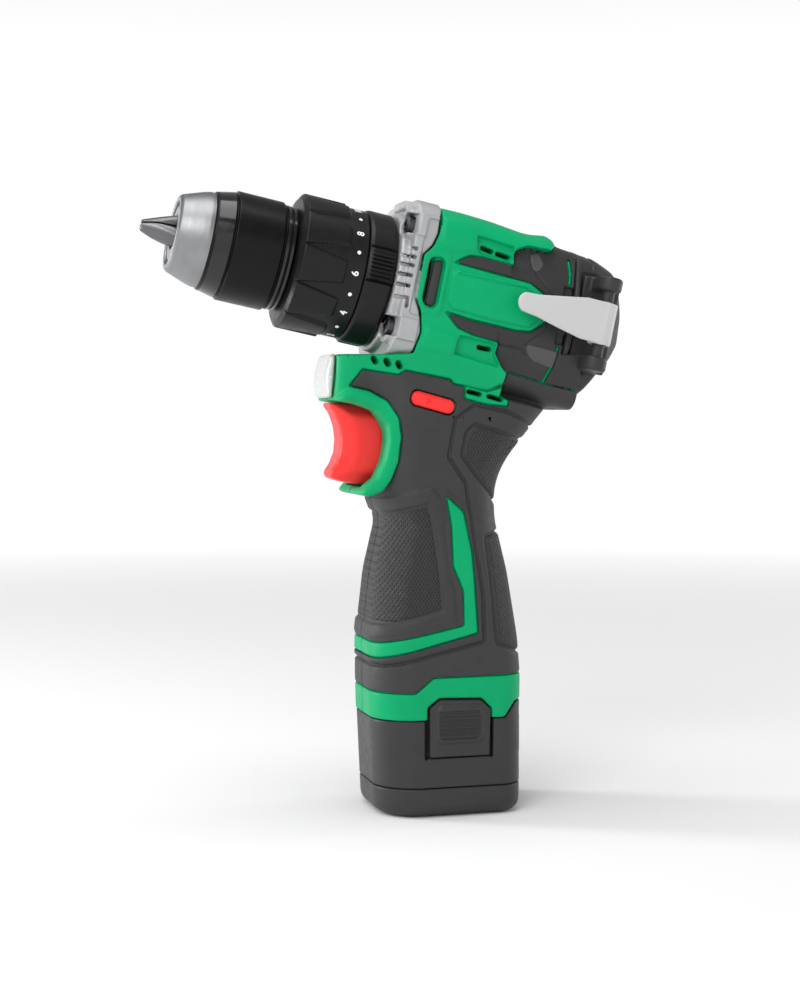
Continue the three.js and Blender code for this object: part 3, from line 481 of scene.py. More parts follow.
def relief(g):
    """How far the surface stands above the smooth form, over the side view."""
    out = 1.2 * plateau(g.head(HEAD_PANEL, 0.4), 0.9)
    out = out - 0.55 * groove(track(PANEL_LINE, g.v, g.w), 0.55)
    for recess in HEAD_RECESSES:
        out = out - 1.9 * plateau(g.head(recess, 0.4), 0.8)
    for v, w, half in REAR_DENTS:
        out = out - 1.0 * plateau(np.maximum(np.abs(g.v - v) - 2.0, np.abs(g.w - w) - half), 0.5)
    for line in FACET_LINES:
        out = out - 0.5 * groove(track(line, g.v, g.w), 0.5)
    for block in HEAD_BLOCKS:
        out = out + 0.6 * plateau(g.head(block, 0.8), 1.6)
    out = out + 0.5 * plateau(g.head(WINDOW_FRAME, 1.2), 1.4)
    out = out + 0.75 * plateau(g.side(PAD_FRAME, 0.6), 1.6)
    out = out - 0.9 * plateau(g.side(FRONT_PAD, 0.6), 1.4)
    for pad in (REAR_PAD, NECK_PAD):
        edge = g.side(pad, 0.6)
        out = out - 0.9 * groove(np.abs(edge), 0.9) - 0.2 * plateau(edge, 0.8)
    out = out - 0.95 * groove(track(GRIP_GROOVE, g.y, g.z), 0.85)
    out = out + 0.7 * plateau(g.side(BOW, 0.5), 1.2)
    return out + 0.35 * plateau(g.side(STRIPE, 0.3) - 1.6, 1.6)


def black_parts(g):
    """Side-view distances of the two dark regions: grip with neck, and the stripes with the rear."""
    grip = g.side(GRIP_REGION, 0.5)
    grip = np.maximum(grip, -g.side(STRIPE, 0.3))
    grip = np.maximum(grip, -g.side(VENT_PATCH, 0.3))
    rear = g.head(HEAD_BLACK, 0.3)
    rear = np.maximum(rear, -g.side(VENT_PATCH, 0.3))
    for line in SEAMS:
        rear = np.maximum(rear, 0.38 - track(line, g.v, g.w))
    return grip, rear


def rear_facets(g, body):
    """Flat-sided black rear, a little proud of the green, with a thicker band at its front."""
    x = np.abs(g.x)
    proud = 0.9 * plateau(np.abs(g.v - 19.5) - 3.0, 3.0) * plateau(13.5 - np.abs(g.w), 3.0)
    form = body - proud
    for angle, reach in ((22, 25.9), (45, 28.9), (68, 27.2), (-24, 26.8), (-47, 30.6), (-68, 31.2)):
        a = math.radians(angle)
        form = smax(form, x * math.cos(a) + g.w * math.sin(a) - reach - proud, 1.0)
    return form


def rear_faced(g, form):
    """The form with flat faces on the dark rear of the head."""
    dark = g.head(HEAD_BLACK, 0.3)
    share = plateau(dark + 0.4, 1.0) * plateau(15.5 - g.v, 2.0) * plateau(-29.5 - g.w, 2.5)
    return form + (rear_facets(g, form) - form) * share


def housing_cuts(g):
    """Everything that is taken out of the left half of the housing, one field each."""
    radius = g.radius()
    slot = smax(g.side(TRIGGER_SLOT, 0.3), g.x - 9.7, 0.4)
    window = smax(g.head(WINDOW, 0.9), 23.2 - g.x, 0.8)
    roof = np.maximum(np.maximum(g.x - 7.3, np.abs(g.v - 5.8) - 7.4), 15 - g.w)
    lens = smax(g.side(LENS, 0.3) - GAP, np.abs(g.x) - 12.2, 4)
    motor = np.maximum(radius - MOTOR_BORE, -g.v)
    gearbox = np.maximum(np.maximum(radius - 20.9, -g.v - 20), g.v - 4.5)
    collars = smax(np.maximum(radius - 22.75, g.v + 17.7), -60 - g.v, 1)
    flange = rounded_box(g.x, g.w, 24.35, -24.35, 26.95, 9.3, 9.3)
    flange = np.maximum(np.maximum(flange, g.v + 10.1), -g.v - 18.6)
    stem = np.maximum(rounded_box(g.x, g.y, 19.45, -22.2, 15.3, 16, 8), g.z - 77.4)
    cuts = [slot, window, roof, lens, motor, gearbox, collars, flange, stem, button_bar(g, 0.35)]
    cuts.append(smax(g.side(LATCH, 0.6) - 0.1, LATCH_DEPTH - g.x, 0.6))
    cuts.append(g.side(REAR_NOTCH, 0.5) - GAP)
    cuts.append(g.z - HOUSING_FOOT)
    cuts += [track(line, g.v, g.w) - 0.75 for line in HEAD_VENTS]
    cuts += [track(line, g.y, g.z) - 0.7 for line in SWITCH_VENTS]
    for y, z in LENS_DOTS:
        hole = track([(y - 0.25, z + 0.55), (y + 0.35, z - 0.6)], g.y, g.z) - 0.85
        cuts.append(np.maximum(hole, 10.5 - g.x))
    return cuts


def housing(g):
    """Fields of the green shell and of the rubber and rear skins, for the left half."""
    form = housing_form(g)
    grip, rear = black_parts(g)
    form = rear_faced(g, form)
    body = form - relief(g)
    inside = np.maximum(form + WALL, 60 - g.v)
    shell = smax(body, -inside, 0.3)
    shell = np.maximum(shell, np.where(g.z > FLANGE_TOP, g.head(HEAD_SIDE, 0.5), -1e3))
    for tool in housing_cuts(g):
        shell = smax(shell, -tool, 0.6)
    shell = smax(shell, MIDDLE_GAP - g.x, 0.6)
    dark_zone = np.maximum(np.minimum(grip, rear) - GAP, -(body + SKIN))
    green = smax(shell, -dark_zone, 0.7)
    skin = np.maximum(shell, -(body + SKIN - 0.05))
    rear_alone = np.maximum(rear, -grip - 0.1)
    return green, smax(skin, grip + GAP, 0.7), smax(skin, rear_alone + GAP, 0.7)


def along_bar(g):
    """Places along and across the direction button's bar, which slants down to the rear."""
    y, z = g.y - BAR_MIDDLE[0], g.z - BAR_MIDDLE[1]
    return y * math.cos(BAR_TILT) - z * math.sin(BAR_TILT), y * math.sin(BAR_TILT) + z * math.cos(BAR_TILT)


def button_bar(g, grow):
    """The direction button's bar: a rounded bar across the handle."""
    u, t = along_bar(g)
    long, tall, radius = 7.5 + grow, 2.4 + grow, 2.2
    qu, qt = np.abs(u) - long + radius, np.abs(t) - tall + radius
    outer = np.sqrt(np.maximum(qu, 0) ** 2 + np.maximum(qt, 0) ** 2)
    return outer + np.minimum(np.maximum(qu, qt), 0) - radius


# ---- Materials ----
class Look:
    """A node material, with short names for the nodes it needs."""

    def __init__(self, name):
        self.material = bpy.data.materials.new(name)
        self.material.use_nodes = True
        self.tree = self.material.node_tree
        self.shader = self.tree.nodes["Principled BSDF"]
        self.place = self.node("ShaderNodeTexCoord").outputs["Object"]

    def node(self, kind, **settings):
        made = self.tree.nodes.new(kind)
        for key, value in settings.items():
            setattr(made, key, value)
        return made

    def join(self, source, target):
        self.tree.links.new(source, target)

    def math(self, operation, a, b=0.0):
        made = self.node("ShaderNodeMath", operation=operation)
        for socket, value in zip(made.inputs, (a, b)):
            if isinstance(value, (int, float)):
                socket.default_value = value
            else:
                self.join(value, socket)
        return made.outputs[0]

    def noise(self, size, detail=2.0, place=None):
        made = self.node("ShaderNodeTexNoise")
        made.inputs["Scale"].default_value = 1 / (size * MM)
        made.inputs["Detail"].default_value = detail
        self.join(place or self.place, made.inputs["Vector"])
        return made.outputs["Fac"]

    def span(self, source, low, high, start=0.3, end=0.7):
        made = self.node("ShaderNodeMapRange")
        for key, value in (("From Min", start), ("From Max", end), ("To Min", low), ("To Max", high)):
            made.inputs[key].default_value = value
        self.join(source, made.inputs["Value"])
        return made.outputs["Result"]

    def blend(self, share, first, second):
        made = self.node("ShaderNodeMix", data_type="RGBA")
        self.join(share, made.inputs["Factor"])
        for socket, colour in ((made.inputs[6], first), (made.inputs[7], second)):
            if isinstance(colour, tuple):
                socket.default_value = (*colour, 1)
            else:
                self.join(colour, socket)
        return made.outputs[2]

    def bump(self, height, depth, below=None):
        made = self.node("ShaderNodeBump")
        made.inputs["Strength"].default_value = 1.0
        made.inputs["Distance"].default_value = depth * MM
        self.join(height, made.inputs["Height"])
        if below:
            self.join(below, made.inputs["Normal"])
        return made.outputs["Normal"]


def srgb(*levels):
    """Linear colour from 0-255 display levels."""
    return tuple(((c / 255 + 0.055) / 1.055) ** 2.4 if c > 10 else c / 255 / 12.92 for c in levels)


def shade(colour, factor):
    """The colour made lighter or darker."""
    return tuple(min(c * factor, 1.0) for c in colour)


def plastic(name, colour, rough, grain=0.35, depth=0.02, mottle=0.06, coat=0.0, edge_highlight=1.12, shine=0.35):
    """Moulded plastic or rubber: slight tone changes, spark-eroded grain and a painted highlight that
    lightens convex edges.
    """
    look = Look(name)
    mottled = look.span(look.noise(14, 3), 0, 1)
    tone = look.blend(mottled, shade(colour, 1 - mottle), shade(colour, 1 + mottle))
    edge = look.node("ShaderNodeNewGeometry").outputs["Pointiness"]
    # painted highlight: convex edges, where pointiness is high, get a lighter copy of the colour
    tone = look.blend(look.span(edge, 0, 1, 0.52, 0.62), tone, shade(colour, edge_highlight))
    look.join(tone, look.shader.inputs["Base Color"])
    look.join(look.span(look.noise(2.2, 3), rough - 0.05, rough + 0.06), look.shader.inputs["Roughness"])
    look.join(look.bump(look.noise(grain, 2), depth), look.shader.inputs["Normal"])
    if coat:
        look.shader.inputs["Coat Weight"].default_value = coat
        look.shader.inputs["Coat Roughness"].default_value = 0.12
    look.shader.inputs["Specular IOR Level"].default_value = shine
    return look


def hatched(name, colour, rough, pitch=1.15, depth=0.16):
    """Soft rubber with a fine diamond hatch, darkened in its valleys as painted shade and lightened on its
    crests as painted highlight.
    """
    look = plastic(name, colour, rough, 0.3, 0.02)
    split = look.node("ShaderNodeSeparateXYZ")
    look.join(look.place, split.inputs[0])
    _, y, z = split.outputs
    turn = 2 * math.pi / (pitch * MM)
    lean = look.math("MULTIPLY", z, 0.62)
    rising = look.math("SINE", look.math("MULTIPLY", look.math("ADD", y, lean), turn))
    falling = look.math("SINE", look.math("MULTIPLY", look.math("SUBTRACT", y, lean), turn))
    height = look.math("MAXIMUM", rising, falling)
    fine = look.bump(look.noise(0.3, 2), 0.02)
    look.join(look.bump(height, depth, fine), look.shader.inputs["Normal"])
    # painted shade and highlight: the colour is scaled from 0.72 in the hatch valleys to 1.08 on the crests
    painted_hatch_shade = look.span(height, 0.72, 1.08, -0.2, 0.9)
    scale = look.node("ShaderNodeVectorMath", operation="SCALE")
    look.join(look.shader.inputs["Base Color"].links[0].from_socket, scale.inputs[0])
    look.join(painted_hatch_shade, scale.inputs["Scale"])
    look.join(scale.outputs[0], look.shader.inputs["Base Color"])
    return look


def metal(name, colour, rough, turned=False, grain=0.5, depth=0.012, streak=0.1, metallic=1.0):
    """Steel or aluminium: turned pieces carry fine rings, cast ones a fine grain."""
    look = Look(name)
    look.shader.inputs["Metallic"].default_value = metallic
    place = look.place
    if turned:
        mapping = look.node("ShaderNodeMapping", vector_type="TEXTURE")
        mapping.inputs["Rotation"].default_value = (-TILT, 0, 0)
        mapping.inputs["Scale"].default_value = (6, 0.12, 6)
        look.join(place, mapping.inputs["Vector"])
        place = mapping.outputs[0]
    rings = look.noise(grain * (6 if turned else 1), 3, place)
    tone = look.blend(look.span(look.noise(9, 3), 0, 1), shade(colour, 0.9), shade(colour, 1.06))
    look.join(tone, look.shader.inputs["Base Color"])
    look.join(look.span(rings, rough - streak, rough + streak), look.shader.inputs["Roughness"])
    look.join(look.bump(rings, depth), look.shader.inputs["Normal"])
    return look


GREEN = plastic("green_plastic", srgb(0, 166, 106), 0.42, 0.45, 0.015, 0.05, shine=0.14)
RUBBER = plastic("grip_rubber", srgb(56, 55, 56), 0.55, 0.4, 0.03, 0.07)
HATCH = hatched("hatched_rubber", srgb(54, 53, 54), 0.6)
REAR_BLACK = plastic("rear_rubber", srgb(50, 49, 50), 0.5, 0.4, 0.025, 0.07)
# painted highlight: the rear facet plates are a lighter copy of the rear black
FACET = plastic("rear_facet", srgb(80, 79, 80), 0.5, 0.4, 0.02, 0.05)
BLACK = plastic("black_plastic", srgb(52, 51, 52), 0.45, 0.5, 0.02, 0.06)
COLLAR = plastic("collar_plastic", srgb(22, 22, 23), 0.36, 0.5, 0.015, 0.06, shine=0.25)
INSIDE = plastic("inner_plastic", srgb(30, 30, 31), 0.6)
RED = plastic("red_plastic", srgb(255, 58, 56), 0.36, 0.5, 0.01, 0.04, edge_highlight=1.05, shine=0.2)
GLOSS = plastic("gloss_black", srgb(11, 11, 12), 0.14, 0.8, 0.006, 0.05, 0.35, shine=0.4)
SATIN = plastic("satin_black", srgb(10, 10, 11), 0.34, 0.5, 0.01, 0.05, shine=0.2)
CASTING = metal("cast_alloy", srgb(178, 179, 181), 0.5, depth=0.02, streak=0.05, metallic=0.4)
NOSE_STEEL = metal("nose_steel", srgb(150, 151, 153), 0.42, True, streak=0.05)
JAW_STEEL = metal("jaw_steel", srgb(112, 112, 114), 0.36, False, 0.4, 0.02)
STEEL = metal("ground_steel", srgb(190, 191, 194), 0.3, False, 0.3, 0.01)
DARK_STEEL = metal("dark_steel", srgb(92, 92, 95), 0.36, False, 0.4, 0.015)
BRASS = metal("brass", srgb(214, 178, 92), 0.3, False, 0.3, 0.01)
HOOK = plastic("hook_paint", srgb(200, 200, 201), 0.4, 0.6, 0.012, 0.02, 0.1, 1.02)
PRINT = plastic("white_print", srgb(238, 238, 238), 0.5, 0.5, 0.0, 0.02)
BOARD = plastic("circuit_board", srgb(24, 92, 52), 0.4, 1.2, 0.03, 0.1, 0.2)
WRAP = plastic("cell_wrap", srgb(52, 112, 186), 0.3, 0.8, 0.01, 0.05, 0.3)
LENS_LOOK = plastic("lens_plastic", srgb(218, 222, 221), 0.22, 0.8, 0.01, 0.02, 0.6, 1.0)
LENS_LOOK.shader.inputs["Transmission Weight"].default_value = 0.25
LENS_LOOK.shader.inputs["Subsurface Weight"].default_value = 0.3
LENS_LOOK.shader.inputs["Subsurface Scale"].default_value = 0.004


def finish_piece(obj, look, body, slot, *replaced):
    """Gives a piece its material and its body, and hides the CAD nodes it stands for. The slot argument is
    not used.
    """
    obj.data.materials.clear()
    obj.data.materials.append(look.material)
    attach(obj, body)
    if replaced:
        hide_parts(*replaced)


def housing_pair(name, shape, look, slot, left=(), right=()):
    """A left-hand shape and its mirror image, both fixed to the housing."""
    for (side, mirror), replaced in zip(SIDES, (left, right)):
        finish_piece(solid_piece(f"{side}_{name}", shape, mirror), look, "housing", slot, *replaced)


# ---- Housing ----
def build_housing():
    g = Grid((-1.2, -44, 30.4), (27.6, 42.6, 203), FINE)
    green, grip, rear = housing(g)
    housing_pair("green_shell", moulded(g, green, 0.3), GREEN, "shell_green",
                 ["left_housing_shell"], ["right_housing_shell"])
    housing_pair("grip_skin", moulded(g, grip, 0.3), RUBBER, "grip_rubber",
                 ["left_grip_overmold"], ["right_grip_overmold"])
    housing_pair("rear_skin", moulded(g, rear, 0.35), REAR_BLACK, "grip_rubber")
    for name, shape in pad_shapes(g):
        housing_pair(name, shape, HATCH, "grip_rubber")
    for name, shape in painted_light_facet_shapes(g):
        housing_pair(name, shape, FACET, "grip_rubber")


def pad_shapes(g):
    """The three hatched pads, thin shields let into the grip."""
    top = housing_form(g) - relief(g)
    made = []
    for name, points, proud in (("front_pad", FRONT_PAD, 0.25), ("rear_pad", REAR_PAD, 0.2),
                                ("neck_pad", NECK_PAD, 0.2)):
        base = np.maximum(top - proud, -(top + 0.5))
        pad = smax(base, g.side(points, 0.6) + 0.85, 0.8)
        pad = smax(pad, MIDDLE_GAP - g.x, 0.4)
        pad = np.maximum(pad, g.side(GRIP_REGION) + 0.4)
        made.append((name, moulded(g, pad, 0.4)))
    return made


def painted_light_facet_shapes(g):
    """Two facets let into the dark rear of the head, coloured lighter than it as painted highlight where they
    catch the light.
    """
    top = rear_faced(g, housing_form(g)) - relief(g)
    made = []
    for index, points in enumerate(PAINTED_LIGHT_FACETS):
        plate = smax(np.maximum(top - 0.35, -(top + 0.6)), g.head(points, 0.3), 0.5)
        made.append((f"rear_facet_{index + 1}", moulded(g, plate, 0.4)))
    return made


# ---- Gearbox casting ----
CASTING_SLOTS = (10.2, 7.5, 4.7, 1.5, -1.9)
CASTING_CORNER = [(-20.0, -5.8), (-16.6, -5.7), (-16.4, -8.4)]
CASTING_STEP = [(-15.0, 20.6), (-15.0, -10.4), (-9, -10.4), (-9, 20.6)]


def build_gearbox():
    g = Grid((-1, -24, -27.5), (27.5, -7.5, 29.5), grid_step(0.3), tilted=True)
    radius = g.radius()
    barrel = smax(radius - 23.3, np.abs(g.v + 15.8) - 5.3, 1.2)
    plate = rounded_box(g.x, g.w, 24.5, -24.3, 26.9, 9.5, 9.5)
    plate = smax(plate, np.abs(g.v + 14.2) - 4.0, 0.7)
    form = smin(barrel, plate, 0.9)
    for level in SCREW_LEVELS:
        from_screw = np.sqrt((g.x - 17.4) ** 2 + (g.w - level) ** 2)
        boss = smax(from_screw - 5.6, np.abs(g.v + 15.6) - 4.8, 0.8)
        lug = rounded_box(g.x - 19.9, g.w - level, 5.4, -3.9, 3.3, 0.5, 0.5)
        lug = smax(lug, np.abs(g.v + 14.6) - 3.2, 0.5)
        form = smin(smin(form, boss, 0.8), lug, 0.4)
    ridge = smax(np.abs(g.x) - 6.5, np.abs(g.w - 25.9) - 1.6, 1.0)
    form = smin(form, smax(ridge, np.abs(g.v + 15.4) - 4.2, 1), 0.8)
    for level in SCREW_LEVELS:
        from_screw = np.sqrt((g.x - SCREW_ACROSS) ** 2 + (g.w - level) ** 2)
        open_side = np.maximum(np.abs(g.w - level) - 3.2, SCREW_ACROSS - g.x)
        form = smax(form, -np.maximum(np.minimum(from_screw - 3.6, open_side), g.v + 17.9), 0.4)
        form = smax(form, -(from_screw - 1.7), 0.3)
    for level in CASTING_SLOTS:
        slot = track([(-20.4, level), (-16.9, level)], g.v, g.w) - 0.6
        form = smax(form, -np.maximum(slot, 21.2 - g.x), 0.3)
    corner = track(CASTING_CORNER, g.v, g.w) - 0.55
    form = smax(form, -np.maximum(corner, 21.6 - g.x), 0.3)
    form = smax(form, -np.maximum(g.head(CASTING_STEP, 0.6), 24.0 - g.x), 0.6)
    form = smax(form, -(g.head(HEAD_SIDE, 0.5) - 0.3), 0.5)
    form = smax(form, -(radius - 19.4), 0.4)
    form = smax(form, -g.x - 0.6, 0.1)
    housing_pair("gearbox_casting", moulded(g, form, 0.4), CASTING, "gearbox_casting",
                 right=["gearbox_housing"])


# ---- Turned pieces about the drill axis ----
def filleted(profile, size, steps=3):
    """Each corner of a closed profile of [radius, along] points is turned into a small curve."""
    points = [np.array(p, float) for p in profile]
    out = []
    for before, corner, after in zip([points[-1]] + points[:-1], points, points[1:] + [points[0]]):
        to_before, to_after = before - corner, after - corner
        reach = min(size, 0.4 * np.linalg.norm(to_before), 0.4 * np.linalg.norm(to_after))
        start = corner + to_before / np.linalg.norm(to_before) * reach
        end = corner + to_after / np.linalg.norm(to_after) * reach
        guard = 0.12 * reach
        out.append(start + to_before / np.linalg.norm(to_before) * guard)
        for step in range(steps + 1):
            share = step / steps
            out.append((1 - share) ** 2 * start + 2 * share * (1 - share) * corner + share ** 2 * end)
        out.append(end + to_after / np.linalg.norm(to_after) * guard)
    return out


def densified(profile, pitch, low, high):
    """Extra points along the runs of a profile that lie between two places on the axis."""
    out = []
    for a, b in zip(profile, profile[1:] + [profile[0]]):
        out.append(a)
        count = int(abs(b[1] - a[1]) / pitch)
        if count > 1 and min(a[1], b[1]) >= low - 0.5 and max(a[1], b[1]) <= high + 0.5 and a[0] > 19:
            out += [a + (b - a) * k / count for k in range(1, count)]
    return out


def turned_piece(name, profile, sides=160, relief_at=None):
    """A closed turned mesh on the drill axis; relief_at(angle, along, radius) adds to the radius."""
    rings = np.array(profile, float)
    angle = 2 * np.pi * np.arange(sides) / sides
    radius = np.repeat(rings[:, 0][:, None], sides, 1)
    along = np.repeat(rings[:, 1][:, None], sides, 1)
    turn = np.repeat(angle[None, :], len(rings), 0)
    if relief_at:
        radius = radius + relief_at(turn, along, radius)
    corners = np.stack([radius * np.cos(turn), along, radius * np.sin(turn)], 2).reshape(-1, 3)
    count = len(rings)
    i, j = np.meshgrid(np.arange(count), np.arange(sides), indexing="ij")
    i2, j2 = (i + 1) % count, (j + 1) % sides
    faces = np.stack([i * sides + j, i * sides + j2, i2 * sides + j2, i2 * sides + j], -1).reshape(-1, 4)
    area = np.sum((rings[:, 0] + np.roll(rings[:, 0], -1)) * (np.roll(rings[:, 1], -1) - rings[:, 1]))
    if area < 0:
        faces = faces[:, ::-1]
    obj = link(name, mesh_of(name, corners, faces))
    obj.data.validate()
    obj.data.transform(HEAD_MATRIX)
    obj.data.set_sharp_from_angle(angle=math.radians(50))
    return obj


def smooth_step(x):
    """0 below 0 and 1 above 1, with a soft rise between."""
    x = np.clip(x, 0, 1)
    return x * x * (3 - 2 * x)


PAD_COUNT = 11
FIRST_DIGIT = -4.7                      # degrees: the 6 faces the side
DIGIT_STEP = 37.2
COLLAR_RADIUS = 21.3
PRINT_ALONG = -34.25                    # middle of the number scale, along the drill axis
PRINT_DEPTH = 0.06                      # half the thickness of a printed mark
DOT_RADIUS, DOT_SIDES = 0.62, 20
RIB_CENTRES = (7.5, 127.5, 247.5)


def torque_relief(turn, along, radius):
    """Raised grip pads, wide at the front and narrow at the rear."""
    pitch = 360 / PAD_COUNT
    degrees = (np.degrees(turn) + pitch * 0.5 + 5.5) % pitch - pitch * 0.5
    run = (along + 51.6) / (51.6 - 37.6)
    half = 15.6 - 6.6 * run
    side = smooth_step((half - np.abs(degrees)) / 1.5 + 0.5)
    ends = smooth_step((-37.6 - along) / 0.7 + 0.5) * smooth_step((along + 52.9) / 1.2)
    return np.where(radius > 19.5, 0.95 * side * ends, 0)


def mode_relief(turn, along, radius):
    """Ribbed thumb pads."""
    out = np.zeros_like(radius)
    for centre in RIB_CENTRES:
        degrees = (np.degrees(turn) - centre + 180) % 360 - 180
        inside = smooth_step((13.6 - np.abs(degrees)) / 1.0 + 0.5)
        inside = inside * smooth_step((along + 30.0) / 0.6) * smooth_step((-22.1 - along) / 0.5)
        ridges = np.abs(np.sin(np.radians(degrees) * 180 / 3.4)) ** 1.5
        out = out + inside * (0.75 * ridges - 0.3)
        gap = smooth_step((0.8 - np.abs(np.abs(degrees) - 15.0)) / 0.5) * (along > -30.4)
        out = out - 0.7 * gap
    return np.where(radius > 19.5, out, 0)


def build_turned():
    torque = [(19.6, -31.25), (COLLAR_RADIUS, -31.25), (COLLAR_RADIUS, -51.9), (20.6, -53.0),
              (17.2, -53.4), (13.4, -53.4),
              (13.4, -51.4), (19.6, -51.4)]
    torque = densified(filleted([np.array(p) for p in torque], 0.35), 0.3, -53, -31)
    piece = turned_piece("torque_ring", torque, 540, torque_relief)
    finish_piece(piece, COLLAR, "torque_collar", "black_plastic", "torque_collar")

    mode = [(15.3, -26.4), (15.3, -21.5), (21.0, -21.5), (22.0, -22.4), (22.0, -29.9), (21.4, -30.95),
            (19.6, -30.95), (19.6, -26.4)]
    mode = densified(filleted([np.array(p) for p in mode], 0.35), 0.3, -31, -21.5)
    piece = turned_piece("mode_ring", mode, 720, mode_relief)
    finish_piece(piece, COLLAR, "mode_collar", "black_plastic", "mode_collar")

    sleeve = [(13.4, -80.7), (15.3, -80.7), (16.1, -79.9), (17.3, -74.2), (17.0, -73.9), (17.0, -73.6),
              (17.9, -73.3), (17.9, -58.2), (17.3, -57.7), (16.6, -57.6), (16.6, -57.2), (17.2, -57.0),
              (17.2, -55.9),
              (16.5, -55.7), (16.5, -55.4), (17.1, -55.2), (17.1, -54.2), (16.6, -54.0), (13.4, -54.0),
              (13.4, -55.4), (16.0, -55.4), (16.0, -74), (14.4, -79.1), (13.4, -79.1)]
    piece = turned_piece("sleeve_body", filleted(sleeve, 0.3), 200)
    finish_piece(piece, SATIN, "chuck_sleeve", "sleeve_black", "chuck_sleeve")
    band = [(16.16, -79.6), (17.34, -74.4), (17.24, -74.4), (16.06, -79.6)]
    piece = turned_piece("sleeve_band", filleted(band, 0.03), 200)
    finish_piece(piece, GLOSS, "chuck_sleeve", "sleeve_black")
    for index, (radius, rear) in enumerate(((17.26, -56.0), (17.16, -54.3))):
        band = [(radius, rear - 0.9), (radius, rear), (radius - 0.1, rear), (radius - 0.1, rear - 0.9)]
        piece = turned_piece(f"sleeve_ring_{index + 1}", filleted(band, 0.03), 200)
        finish_piece(piece, GLOSS, "chuck_sleeve", "sleeve_black")


# ---- Chuck nose and jaws ----
JAW_LEAN = math.radians(15)
JAW_ANGLES = (0, 120, 240)
JAW_TIP = -101.5                        # along the drill axis
JAW_SIDE = math.radians(60)             # half angle between a jaw's two flat sides
CONE = [                                # radius and place along the axis
    (0, -79.6), (15.55, -79.6), (15.55, -81.6), (15.1, -83.6), (12.7, -90.4), (11.9, -91.3), (0, -91.3),
]


def jaw_bar(g, radius, front, rear, degrees):
    """Distance to a jaw's round bar, or the channel it slides in."""
    a = math.radians(degrees)
    out = g.x * math.sin(a) + g.w * math.cos(a)
    across = g.x * math.cos(a) - g.w * math.sin(a)
    lean = (out - 2.4) * math.cos(JAW_LEAN) - (g.v + 91.2) * math.sin(JAW_LEAN)
    bar = np.sqrt(across ** 2 + lean ** 2) - radius
    return np.maximum(bar, np.maximum(front - g.v, g.v - rear))


def build_chuck():
    g = Grid((-16.6, -92.6, -16.6), (16.6, -52.8, 16.6), grid_step(0.24), tilted=True)
    radius = g.radius()
    cone = outline(CONE, radius, g.v)
    core = np.maximum(radius - 12.9, np.maximum(-81 - g.v, g.v + 54))
    front_ring = np.maximum(np.abs(radius - 9.6) - 0.75, g.v + 90.0)
    face = np.maximum(radius - 8.9, g.v + 90.8)
    form = np.minimum(cone, core)
    form = smax(form, -front_ring, 0.5)
    form = smax(form, -face, 0.4)
    form = smax(form, -np.maximum(radius - 5.3, g.v + 66), 0.5)
    form = smax(form, -np.maximum(radius - 6.3, -64.2 - g.v), 0.5)
    form = smax(form, -(radius - 2.4), 0.3)
    for degrees in JAW_ANGLES:
        form = smax(form, -jaw_bar(g, 3.35, -110, -57, degrees), 0.4)
    piece = solid_piece("chuck_nose", moulded(g, form, 0.3))
    finish_piece(piece, NOSE_STEEL, "spindle", "chuck_steel", "chuck_body")

    for index, degrees in enumerate(JAW_ANGLES):
        a = math.radians(degrees)
        aside, above = 5 * math.sin(a), 5 * math.cos(a)
        g = Grid((aside - 7, -102.3, above - 7), (aside + 7, -76.3, above + 7), grid_step(0.16),
                 tilted=True)
        out = g.x * math.sin(a) + g.w * math.cos(a)
        across = g.x * math.cos(a) - g.w * math.sin(a)
        flats = np.abs(across) * math.cos(JAW_SIDE) - (out - 0.3) * math.sin(JAW_SIDE)
        wedge = np.maximum(flats, 0.15 - out)
        tip = (g.radius() - (1.8 + (g.v - JAW_TIP) * 3.9 / 10.3)) * 0.92
        form = smax(jaw_bar(g, 3.1, JAW_TIP, -77, degrees), tip, 0.5)
        form = smax(form, wedge, 0.35)
        piece = solid_piece(f"jaw_{index + 1}_blade", moulded(g, form, 0.4))
        finish_piece(piece, JAW_STEEL, f"jaw_{index + 1}", "jaw_steel", f"jaw_{index + 1}")


# ---- Rear cap, hook mount and hook ----
REAR_SIDE = [
    (38.5, 30), (42, 24.0), (49.2, 23.4), (53.9, 21.0), (57.9, 15.6), (60.2, 6), (61.6, -3.6),
    (59.4, -9.6), (55.6, -13.6), (51.9, -21.0), (45.6, -28.4), (38.5, -40),
]
REAR_CAP = [
    # along the axis, half width, bottom, top, corner radius
    (38, 24.4, -29.6, 24.6, 11), (44, 24.2, -29, 23.4, 11), (50, 22.8, -24, 22.6, 11),
    (55, 19.6, -18, 19.5, 10), (60, 14.4, -11, 11, 8), (63, 10, -7, 8, 6),
]
REAR_FLATS = ((24, 25.4), (47, 28.0), (70, 25.6), (-26, 26.2), (-50, 29.6), (-70, 30.0))
REAR_VENTS = (9.6, 5.4, 1.2, -3.0, -7.2)


